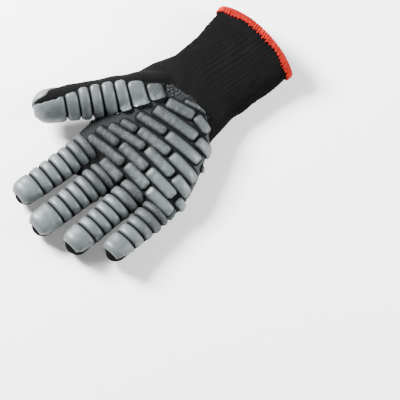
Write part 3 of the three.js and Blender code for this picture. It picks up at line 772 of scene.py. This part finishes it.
# The pads
padSizes = {"gap": 0.25, "sheet": 1.3, "ribHeight": 3.4, "brickHeight": 3.1, "groove": 0.5,
            "corner": 4.2, "shoulder": 4.0, "bed": 0.5, "brickCorner": 3.4, "brickShoulder": 5.2,
            "row": 0.42, "tipRows": 34, "columns": 84, "coatColumns": 70, "shift": 0.15,
            "ribUneven": 0.06, "brickUneven": 0.05, "capHeight": 1.03, "fray": 0.35,
            "frayWave": 5.0, "lump": 0.12, "lumpWave": 9.0, "lead": 0.4, "edgeRamp": (0.1, 1.2),
            "startRamp": (0.0, 0.8), "endRamp": (0.0, 1.3), "sheetThin": 0.55, "sheetMore": 0.45,
            "webRamp": (1.2, 3.0), "sideAndEdgeShadeRamp": (0.2, 2.2), "wearAndShadeMore": 0.75, "wearAndShadeRamp": (2, 30)}


# The height of a pillow over a rounded rectangle: a quarter circle up from its edge, then level.
# a and b are the distances from its middle; it also gives the distance in from its edge.
def pillow(a, b, halfA, halfB, corner, shoulder):
    corner = np.minimum(corner, np.minimum(halfA, halfB))
    pastA, pastB = np.abs(a) - halfA + corner, np.abs(b) - halfB + corner
    over = np.hypot(np.maximum(pastA, 0), np.maximum(pastB, 0))
    inside = corner - over - np.minimum(np.maximum(pastA, pastB), 0)
    t = np.clip(inside / shoulder, 0, 1)
    return np.sqrt(1 - (1 - t) ** 2), inside


# A grid on a digit between two edges, which a table gives in degrees for each distance: the
# distances, the angles, the millimetres in from the nearer edge, the grid's end and the radius.
def bandGrid(digit, start, tip, edges, columns):
    straight = digit["length"] - digit["reach"]
    end = straight + digit["reach"] * tip * np.pi / 2
    along = np.concatenate([np.arange(start, straight, padSizes["row"]),
                            np.linspace(straight, end, padSizes["tipRows"])])
    low, high = np.radians(np.moveaxis(readTable(np.array(edges, float), along), -1, 0))
    q = np.linspace(0, 1, columns)
    angle = low[:, None] + (high - low)[:, None] * q
    t = np.repeat(along[:, None], columns, axis=1)
    radius = (digit["halfWidth"] + digit["halfDepth"]) / 2
    rim = np.minimum(angle - low[:, None], high[:, None] - angle) * radius
    return t, angle, rim, end, radius


# The height of the hand's skin over plan points, and far below beside the hand
def handTop(points):
    s = handSection(points[..., 0])
    a = np.abs(points[..., 1] - s["y"]) / s["halfWidth"]
    n = s["squareness"]
    top = s["z"] + s["halfDepth"] * (1 - np.minimum(a, 1) ** n) ** (1 / n)
    return np.where(a < 1, top, -50.0)


# A digit's points, whose part below the spread angle is laid out over the hand instead of
# turning under. This angle falls and the hand's hold ends between the two distances of until.
# z = low + share * (softMax(low, handTop + rise) - low), with low the slope that falls outwards
# and softMax(a, b) = (a + b + sqrt((a - b)^2 + soft)) / 2
def spreadPoint(digit, t, angle, rise, pad):
    share = 1 - smoothStep(t, *pad["until"])
    turn = np.maximum(angle, np.radians(pad["spread"]) - (1 - share) * pad["giveUp"])
    past = (turn - angle) * (digit["halfWidth"] + digit["halfDepth"]) / 2
    way = digit["side"] * [1, 1, 0]
    point = digitPoint(digit, t, turn, rise) + past[..., None] * way / np.linalg.norm(way)
    low, over = point[..., 2] - pad["slope"] * past, handTop(point) + rise
    soft = (low + over + np.sqrt((low - over) ** 2 + pad["soft"])) / 2
    point[..., 2] = low + share * (soft - low)
    return point


# A pad of foam rubber stands for its solid's node
def finishGrip(piece, node):
    finishPiece(piece, node, gripRubber)
    print(piece.name + ":", len(piece.data.polygons), "faces")


# A ribbed pad on a digit, as a height over its skin. Its grooves lie at their distances, turned
# by lean, and its ribs end where its edges are. The cap goes on over the tip and thins out there.
def digitPad(name, digit, pad, seed):
    p, grooves = padSizes, pad["grooves"]
    start = grooves[0] - p["lead"]
    t, angle, rim, end, radius = bandGrid(digit, start, pad["tip"], pad["edges"], p["columns"])
    across = (angle - np.pi / 2) * radius
    slant = t - readTable(np.array(pad["lean"], float), t)[..., 0] * across
    dice = np.random.default_rng(seed)
    height, inside = np.zeros_like(t), np.full_like(t, -9.0)
    for near, far in zip(grooves[:-1], grooves[1:]):
        middle, half = (near + far) / 2, (far - near) / 2 - p["groove"] / 2
        edges = readTable(np.array(pad["edges"], float), middle)
        low, high = (np.radians(edges) - np.pi / 2) * radius
        shift = dice.uniform(-p["shift"], p["shift"])
        h, i = pillow(slant - middle - shift, across - (low + high) / 2, half,
                      (high - low) / 2 - 0.4, p["corner"], p["shoulder"])
        height = np.maximum(height, h * dice.uniform(1 - p["ribUneven"], 1 + p["ribUneven"]))
        inside = np.maximum(inside, i)
    past = slant - grooves[-1] - p["groove"] / 2
    dome = np.sqrt(1 - (1 - np.clip(past / p["shoulder"], 0, 1)) ** 2)
    height = np.maximum(height, dome * p["capHeight"])
    inside = np.maximum(inside, past)
    skin = digitPoint(digit, t, angle)
    border = rim + waves(skin, p["frayWave"], seed + 1) * p["fray"]
    cover = smoothStep(border, *p["edgeRamp"]) * smoothStep(t - start, *p["startRamp"])
    cover = cover * smoothStep(end - t, *p["endRamp"])
    straight = digit["length"] - digit["reach"]
    past = np.clip((t - straight) / (end - straight), 0, 1)
    side = smoothStep(np.degrees(np.abs(angle - np.pi / 2)), *pad["fade"])
    side = side * smoothStep(t, *pad["slim"])
    full = (1 - pad["thin"] * past ** 2) * (1 - side)
    sheet = p["sheet"] * (p["sheetThin"] + p["sheetMore"] * full)
    rise = p["gap"] + cover * (sheet + p["ribHeight"] * height * full)
    lump = cover * waves(skin, p["lumpWave"], seed + 3) * p["lump"]
    rise += lump - (1 - cover) * (p["gap"] + p["bed"])
    bed = np.full_like(t, -2 * p["bed"])
    if "spread" in pad:
        upper, lower = spreadPoint(digit, t, angle, rise, pad), spreadPoint(digit, t, angle, bed, pad)
    else:
        upper, lower = digitPoint(digit, t, angle, rise), digitPoint(digit, t, angle, bed)
    # painted shade: the relief share is lowered on the pad's sides and near its edge, so that the
    # shader paints them darker and duller
    sideAndEdgeShade = (1 - 0.5 * side) * (0.35 + 0.65 * smoothStep(rim, *p["sideAndEdgeShadeRamp"]))
    # darker and more mottled near the digit's root, partly as wear and partly as painted shade
    wearAndShade = p["wearAndShadeMore"] * (1 - smoothStep(t, *p["wearAndShadeRamp"])) * (1 - side)
    shares = {"relief": height * cover * sideAndEdgeShade, "web": smoothStep(-inside, *p["webRamp"]),
              "wearAndShade": pad["wearAndShade"] + wearAndShade}
    finishGrip(slabFrom(name.replace("pad", "grip"), upper, lower, shares), name)


# Each finger's pad: where its grooves lie, how far round the tip it goes, and how many degrees of
# knit its cap leaves bare on the outer side
fingerPads = {
    "index": {"grooves": [-0.8, 7.8, 17, 26.6, 36.6, 46.6, 57.3], "tip": 0.57, "bare": 32},
    "middle": {"grooves": [-2.4, 5.6, 14.8, 24.2, 33.6, 43.3, 53.3], "tip": 0.58, "bare": 30},
    "ring": {"grooves": [-2.7, 7.3, 17.3, 27, 36.9, 46.5, 56.9], "tip": 0.47, "bare": 44},
    "little": {"grooves": [-3.8, 4.1, 14.1, 24.2, 35.6], "tip": 0.43, "bare": 46},
}


def makeFingerPads():
    for seed, (name, shape) in enumerate(fingerPads.items()):
        cap = shape["grooves"][-1]
        pad = dict(shape, lean=[[-10, 0], [80, 0]], wearAndShade=0.15, thin=0.85, fade=(38, 98), slim=(4, 34),
                   edges=[[-10, -4, 184], [cap - 4, -4, 184], [cap + 6, shape["bare"] * 0.6 - 4, 184],
                          [cap + 20, shape["bare"] - 4, 182]])
        digitPad(name + "_pad", digits[name], pad, 20 + 5 * seed)


# The thumb's pad and coat. Edges: a distance, then the inner and the outer edge in degrees from
# the inner side. The pad below the spread angle lies out over the hand, and further along the
# thumb this angle falls by giveUp, in radians.
thumbPad = {
    "grooves": [3.0, 18.5, 34.5, 46.2, 58, 68.3, 78.6, 90.6], "tip": 0.7, "thin": 0.6,
    "wearAndShade": 0.15, "fade": (74, 125), "slim": (-9, -8),
    "spread": 50, "until": (42, 64), "giveUp": 1.2, "slope": 0.62, "soft": 12.0,
    "lean": [[0, 0.22], [20, 0.16], [46, 0.04], [68, 0], [120, 0]],
    "edges": [[0, 78, 126], [8, 60, 134], [18, 48, 143], [26, 40, 153], [34, 35, 162], [44, 29, 168],
              [52, 12, 168], [60, 0, 168], [74, 0, 162], [88, 0, 146], [98, 0, 134], [118, 0, 126]],
}
thumbCoat = {
    "start": 34.0, "rise": 1.1, "bed": 0.5, "fray": 0.3, "frayWave": 4.0, "startFray": 1.2,
    "startWave": 5.0, "lump": 0.15, "lumpWave": 12.0, "edgeRamp": (0.0, 1.1),
    "startRamp": (0.0, 1.4),
    "edges": [[30, 222, 340], [92, 218, 346], [101, 192, 350], [106, 158, 354],
              [112, 148, 356], [120, 146, 356]],
}


# The thumb's ribbed pad, and the thin coat as a smooth height over the back of its skin
def makeThumb():
    digit, c = digits["thumb"], thumbCoat
    digitPad("thumb_pad", digit, thumbPad, 50)
    t, angle, rim, _, _ = bandGrid(digit, c["start"] - 4, 1.0, c["edges"], padSizes["coatColumns"])
    skin = digitPoint(digit, t, angle)
    rim = rim + waves(skin, c["frayWave"], 61) * c["fray"]
    past = t - c["start"] + waves(skin, c["startWave"], 62) * c["startFray"]
    cover = smoothStep(rim, *c["edgeRamp"]) * smoothStep(past, *c["startRamp"])
    rise = cover * (c["rise"] + waves(skin, c["lumpWave"], 63) * c["lump"])
    rise -= (1 - cover) * c["bed"]
    upper = digitPoint(digit, t, angle, rise)
    lower = digitPoint(digit, t, angle, np.full_like(t, -2 * c["bed"]))
    piece = slabFrom("thumb_back_coat_skin", upper, lower, {"relief": cover})
    finishPiece(piece, "thumb_back_coat", coatRubber)


# Outline of the palm's sheet from the heel round the outer side, as shares of the palm's length
# and width
sheetOutline = np.array([
    [0.19, -0.02], [0.192, 0.045], [0.19, 0.135], [0.21, 0.19], [0.25, 0.24], [0.296, 0.29],
    [0.36, 0.43], [0.5, 0.6], [0.93, 0.7], [0.93, 0.33], [0.922, 0.32], [0.922, 0.1], [0.997, 0.08],
    [0.997, -0.15], [0.922, -0.17], [0.922, -0.55], [0.79, -0.55], [0.77, -0.425],
    [0.6, -0.41], [0.42, -0.4], [0.33, -0.36], [0.277, -0.276], [0.251, -0.23], [0.222, -0.2],
    [0.206, -0.145], [0.199, -0.088],
])

# The pillows of the palm: along, across, span, breadth, turn in degrees
bricks = np.array([
    [0.215, 0.06, 0.19, 0.04, -20],
    [0.272, 0.186, 0.145, 0.075, 6],
    [0.31, -0.004, 0.225, 0.086, -18],
    [0.363, 0.352, 0.2, 0.086, -12],
    [0.406, 0.052, 0.375, 0.086, -11],
    [0.468, 0.47, 0.06, 0.05, 0],
    [0.492, 0.229, 0.3, 0.086, -8],
    [0.53, -0.062, 0.252, 0.07, -12],
    [0.59, 0.346, 0.255, 0.086, -2],
    [0.61, 0.052, 0.285, 0.077, -7],
    [0.652, -0.168, 0.14, 0.062, -13],
    [0.686, 0.194, 0.275, 0.079, 0],
    [0.689, 0.437, 0.165, 0.089, 3],
    [0.717, -0.12, 0.32, 0.067, -11],
    [0.771, 0.543, 0.12, 0.072, -8],
    [0.781, 0.316, 0.268, 0.083, 0],
    [0.785, 0.029, 0.268, 0.076, -1],
    [0.802, -0.227, 0.21, 0.062, -4],
    [0.864, 0.149, 0.23, 0.078, 2],
    [0.872, 0.402, 0.245, 0.082, -3],
    [0.88, -0.165, 0.35, 0.07, -5],
    [0.952, -0.028, 0.21, 0.078, 1],
])
# The pebbled spot at the heel
heelRough = {"along": 0.24, "across": -0.16, "size": 8.0}


# How far plan points lie inside an outline: the distance to its nearest edge, negative outside
def insideOutline(x, y, outline):
    a = outline
    b = np.roll(outline, -1, axis=0)
    nearest = np.full(x.shape, 1e9)
    crossings = np.zeros(x.shape, int)
    for (ax, ay), (bx, by) in zip(a, b):
        dx, dy = bx - ax, by - ay
        t = np.clip(((x - ax) * dx + (y - ay) * dy) / (dx * dx + dy * dy), 0, 1)
        nearest = np.minimum(nearest, np.hypot(x - ax - t * dx, y - ay - t * dy))
        if dy != 0:
            crossings += ((ay > y) != (by > y)) & (x < ax + (y - ay) * dx / dy)
    return np.where(crossings % 2 == 1, nearest, -nearest)


palmSizes = {"edgeHeight": 10.2, "cellX": 0.5, "columns": 250, "shareFrom": -1.14, "shareTo": 1.3,
             "alongFrom": 0.14, "alongTo": 1.005, "fray": 0.4, "frayWave": 4.5,
             "edgeRamp": (0.0, 1.1), "keepOver": -0.8, "webRamp": (1.0, 2.6), "lump": 0.14,
             "lumpWave": 8.0, "roughWave": 3.0, "roughRamp": (0.3, 1.6), "wearAndShade": 0.9,
             "wearAndShadeRamp": (-46, 4), "wearAndShadeMore": 0.45, "wearAndShadeMoreRamp": (0, 34), "bead": 0.7,
             "beadIn": 1.4, "beadWidth": 0.7, "beadUntil": 0.9, "knob": 1.3, "knobSize": 2.4,
             "knobRamp": (-0.1, 0.9), "heelRamp": (-2, 3)}


# The palm's pad as a height over its skin: the highest of the pillows, a bead round the sheet's
# edge, and knobs on the pebbled spot
def makePalm():
    p, s = padSizes, palmSizes
    scale = np.array([glove["palmLength"], glove["palmWidth"]])
    x = np.arange(s["alongFrom"], s["alongTo"], s["cellX"] / scale[0]) * scale[0]
    share = np.linspace(s["shareFrom"], s["shareTo"], s["columns"])
    t, w = np.meshgrid(x, share, indexing="ij")
    section = handSection(t)
    y = section["y"] + w * section["halfWidth"]  # laid flat past the edge
    height, inside = np.zeros_like(t), np.full_like(t, -30.0)
    dice = np.random.default_rng(5)
    for along, across, span, breadth, turn in bricks:
        turn = np.radians(turn)
        dx, dy = t - along * scale[0], y - across * scale[1]
        a = dx * np.cos(turn) - dy * np.sin(turn)
        b = dy * np.cos(turn) + dx * np.sin(turn)
        h, i = pillow(a, b, breadth * scale[0] / 2 + 0.4, span * scale[1] / 2 + 0.4,
                      p["brickCorner"], p["brickShoulder"])
        height = np.maximum(height, h * dice.uniform(1 - p["brickUneven"], 1 + p["brickUneven"]))
        inside = np.maximum(inside, i)
    skin = palmPoint(t, w)
    rim = insideOutline(skin[..., 0], skin[..., 1], sheetOutline * scale)
    rim = np.minimum(rim, (skin[..., 2] - s["edgeHeight"]) * 1.2)
    rim = rim + waves(skin, s["frayWave"], 31) * s["fray"]
    cover = smoothStep(rim, *s["edgeRamp"])
    heel = np.hypot(skin[..., 0] - heelRough["along"] * scale[0],
                    skin[..., 1] - heelRough["across"] * scale[1])
    knobs = smoothStep(waves(skin, s["knobSize"], 34), *s["knobRamp"])
    knobs = knobs * smoothStep(heelRough["size"] - heel, *s["heelRamp"])
    rough = waves(skin, s["roughWave"], 32) * s["lump"] + knobs * s["knob"]
    rough = rough * smoothStep(-inside, *s["roughRamp"])
    bead = np.exp(-((rim - s["beadIn"]) / s["beadWidth"]) ** 2) * s["bead"]
    bead = bead * (skin[..., 0] < s["beadUntil"] * scale[0])
    full = (p["brickHeight"] + p["sheet"] * 0.3) * height
    rise = p["gap"] + cover * (p["sheet"] * 0.7 + full + rough + bead)
    lump = cover * waves(skin, s["lumpWave"], 33) * s["lump"]
    rise += lump - (1 - cover) * (p["gap"] + p["bed"])
    upper = palmPoint(t, w, rise)
    lower = palmPoint(t, w, np.full_like(t, -2 * p["bed"]))
    keep = np.maximum(np.maximum(rim[:-1, :-1], rim[1:, 1:]),
                      np.maximum(rim[1:, :-1], rim[:-1, 1:])) > s["keepOver"]
    inner = -skin[..., 1]  # towards the thumb
    # darker and more mottled towards the thumb's side of the palm, partly as wear and partly as
    # painted shade
    wearAndShade = smoothStep(inner, *s["wearAndShadeRamp"]) + s["wearAndShadeMore"] * smoothStep(inner, *s["wearAndShadeMoreRamp"])
    wearAndShade = wearAndShade * s["wearAndShade"]
    relief = np.maximum(height, np.maximum(0.75 * knobs, 0.55 * bead / s["bead"])) * cover
    shares = {"relief": relief, "web": smoothStep(-inside, *s["webRamp"]), "wearAndShade": wearAndShade}
    finishGrip(slabFrom("palm_grip", upper, lower, shares, keep), "palm_pad")


makeFingerPads()
makeThumb()
makePalm()

# The hem
hemSizes = {"width": 4.1, "stitches": 130, "thread": 0.62, "past": 1.1, "tooth": 1.3, "band": 0.7,
            "wander": 0.9, "jitter": 0.5, "slant": 0.022, "dip": 0.7, "edgeFrom": 0.42,
            "edgeTo": 0.58, "bulge": 1.1, "looperIn": 0.7, "looperSwing": 0.6,
            "looperLift": 0.55, "looperWave": 0.2}


# A tube of thread along each path: rings square to the path, in the frame of its own curve.
# paths holds one row of points for each thread.
def threads(paths, radius, sides, closed=False):
    step = np.roll(paths, -1, axis=1) - np.roll(paths, 1, axis=1)
    if not closed:
        step[:, 0], step[:, -1] = paths[:, 1] - paths[:, 0], paths[:, -1] - paths[:, -2]
    step /= np.linalg.norm(step, axis=-1, keepdims=True) + 1e-9
    guide = np.array([0.31, 0.17, 0.94])
    first = np.cross(step, guide)
    first /= np.linalg.norm(first, axis=-1, keepdims=True) + 1e-9
    second = np.cross(step, first)
    turn = np.linspace(0, 2 * np.pi, sides, endpoint=False)
    rings = (paths[:, :, None] + radius * (np.cos(turn)[:, None] * first[:, :, None]
                                           + np.sin(turn)[:, None] * second[:, :, None]))
    count, long = paths.shape[:2]
    starts = (np.arange(count) * long * sides)[:, None, None]
    quads = gridQuads(long + closed, sides, True) % (long * sides)
    quads = (quads[None] + starts).reshape(-1, 4)
    caps = np.zeros((0, sides), int)
    if not closed:
        ends = np.stack([np.arange(sides)[::-1], (long - 1) * sides + np.arange(sides)])
        caps = (ends[None] + starts).reshape(-1, sides)
    return rings.reshape(-1, 3), quads, caps


# A point near the cuff's edge: distance in from the edge, turn round the cuff, growth
def hemPoint(inward, angle, grow):
    x = np.maximum(inward, 0) - glove["cuffLength"]
    point = handPoint(x, angle, grow)
    point[..., 0] += np.minimum(inward, 0)
    return point


# The hem: a band folded over the cuff's edge, threads that cross it side by side, and one thread
# that loops along their ends
def makeHem():
    h = hemSizes
    wall, count = glove["wall"], h["stitches"]
    wander = lambda at: h["wander"] * np.cos(at * 5 + 0.7) * np.cos(at * 3)
    turn = np.linspace(0, 2 * np.pi, 360, endpoint=False)
    # band: up the outside, round the edge and down the inside
    profile = np.array([[h["width"] - h["past"], 0.1], [h["width"] - 1.6, h["band"]], [0.4, h["band"]],
                        [-0.7, 0.1], [-1.0, -wall / 2], [-0.7, -wall - 0.1], [0.4, -wall - h["band"]],
                        [h["width"] - 1.6, -wall - h["band"]], [h["width"] - h["past"], -wall - 0.1]])
    wave = 0.25 * np.cos(turn * 9 + 1.0)
    band = hemPoint(profile[None, :, 0], turn[:, None], profile[None, :, 1] + wave[:, None] * 0.3)
    rows, columns = band.shape[:2]
    loop = gridQuads(rows + 1, columns, True) % (rows * columns)
    # stitches: threads over the edge, longer and shorter in turn
    starts = np.linspace(0, 2 * np.pi, count, endpoint=False) + chance.uniform(-0.006, 0.006, count)
    tooth = h["width"] - 0.4 + h["tooth"] * np.where(np.arange(count) % 2, 1, -0.2)
    tooth = tooth + chance.uniform(-h["jitter"], h["jitter"], count) + wander(starts)
    path = np.linspace(0, 1, 15)
    lift = h["band"] + 0.15
    back = np.maximum(1 - path / h["edgeFrom"], (path - h["edgeTo"]) / h["edgeFrom"])
    over = np.clip((path - 0.4) / 0.2, 0, 1)
    grow = lift - (wall + 2 * lift) * over
    grow = grow - h["dip"] * np.where((path < 0.03) | (path > 0.97), np.sign(0.5 - path), 0.0)
    bulge = h["bulge"] * np.sin(np.clip((path - 0.36) / 0.28, 0, 1) * np.pi)
    reach = tooth[:, None] * np.maximum(back, 0)[None] - bulge[None]
    slantTurn = starts[:, None] + h["slant"] * (path[None] - 0.5)
    stitched = hemPoint(reach, slantTurn, grow[None])
    tubes, tubeQuads, caps = threads(stitched, h["thread"], 6)
    # looper thread along the teeth
    ring = np.linspace(0, 2 * np.pi, count * 6, endpoint=False)
    wavy = h["width"] - h["looperIn"] + h["looperSwing"] * np.cos(ring * count / 2) + wander(ring)
    above = h["looperLift"] + h["looperWave"] * np.sin(ring * count)
    looper = hemPoint(wavy, ring, above)[None]
    loopTube, loopQuads, _ = threads(looper, h["thread"] * 0.8, 6, closed=True)
    bandPoints = band.reshape(-1, 3)
    points = np.concatenate([bandPoints, tubes, loopTube])
    first, second = len(bandPoints), len(bandPoints) + len(tubes)
    faces = [loop, tubeQuads + first, loopQuads + second, caps + first]
    hem, _ = meshFrom("overlocked_hem", points, faces)
    work = bmesh.new()
    work.from_mesh(hem.data)
    bmesh.ops.recalc_face_normals(work, faces=work.faces)
    work.to_mesh(hem.data)
    work.free()
    finishPiece(hem, "cuff_hem", hemThread)
    print("hem:", len(hem.data.polygons), "faces")


makeHem()


# The label: a flat sheet, its underside a little hollow inside the edge and pinched up between
# stitches
def makeLabel():
    s = labelSizes
    rows, columns = int(s["width"] / s["cell"]) + 1, int(s["length"] / s["cell"]) + 1
    a, b = np.meshgrid(np.linspace(-0.5, 0.5, rows), np.linspace(-0.5, 0.5, columns), indexing="ij")
    a, b = a * s["width"], b * s["length"]
    turn = np.radians(s["turn"])
    x = s["along"] * glove["palmLength"] + a * np.cos(turn) - b * np.sin(turn)
    y = s["across"] * glove["palmWidth"] + a * np.sin(turn) + b * np.cos(turn)
    rim = np.minimum(s["width"] / 2 - np.abs(a), s["length"] / 2 - np.abs(b))
    around = np.where(s["width"] / 2 - np.abs(a) < s["length"] / 2 - np.abs(b), b, a)
    stitch = 0.5 + 0.5 * np.cos(around * 2 * np.pi / s["stitch"])
    edge = smoothStep(s["edge"] - rim, 0, 0.6)
    bottom = s["stand"] + s["dish"] * (1 - edge) + s["pinch"] * (1 - stitch) * edge
    upper = np.stack([x, y, np.full_like(x, s["thickness"])], axis=-1)
    lower = np.stack([x, y, bottom], axis=-1)
    label = slabFrom("sewn_label", upper, lower, {"edge": edge})
    finishPiece(label, "size_label", labelCloth)


makeLabel()

# Camera, light and floor. Each light stands right, up and towards the camera from the middle, in
# metres, and then has its size and watts.
studio = {
    "target": (0.0031, 0.0761, -0.0163), "distance": 3.38, "lens": 350.0,
    "towards": (0.2602, 0.2695, 0.9272), "up": (-0.6441, -0.6669, 0.3746),
    "floor": 4.0, "floorDrop": 0.0002, "sky": 0.15, "middle": (-0.02, 0.0, 0.01),
    "lights": {
        "key": ((-0.8, 0.72, 0.5), 0.45, 110.0),
        "fill": ((0.9, 0.1, 0.5), 0.5, 26.0),
        "rim": ((0.5, -0.9, 0.3), 0.4, 14.0),
    },
}


def makeStudio():
    s = studio
    target, towards, up = Vector(s["target"]), Vector(s["towards"]).normalized(), Vector(s["up"])
    right = up.cross(towards).normalized()
    up = towards.cross(right)
    camera = bpy.data.objects.new("camera", bpy.data.cameras.new("camera"))
    camera.data.lens = s["lens"]
    camera.data.sensor_width = 36.0
    place = Matrix((right, up, towards)).transposed().to_4x4()
    place.translation = target + towards * s["distance"]
    camera.matrix_world = place
    bpy.context.scene.collection.objects.link(camera)
    bpy.context.scene.camera = camera
    middle = Vector(s["middle"])
    for name, ((r, u, c), size, power) in s["lights"].items():
        lamp = bpy.data.objects.new(name, bpy.data.lights.new(name, "AREA"))
        lamp.data.size, lamp.data.energy = size, power
        spot = middle + right * r + up * u + towards * c
        lamp.location = spot
        lamp.rotation_euler = (spot - middle).to_track_quat("Z", "Y").to_euler()
        bpy.context.scene.collection.objects.link(lamp)
    world = bpy.data.worlds.new("studio")
    world.use_nodes = True
    sky = world.node_tree.nodes["Background"]
    sky.inputs["Color"].default_value = tone(1, 1, 1)
    sky.inputs["Strength"].default_value = s["sky"]
    bpy.context.scene.world = world
    corners = np.array([[-1, -1], [1, -1], [1, 1], [-1, 1]]) * s["floor"]
    corners = np.column_stack([corners, np.full(4, -s["floorDrop"])]) / millimetre - rowShift
    floor, _ = meshFrom("floor", corners, [np.array([[0, 1, 2, 3]])])
    floor.data.materials.append(floorPaint())


makeStudio()
print("studio made")
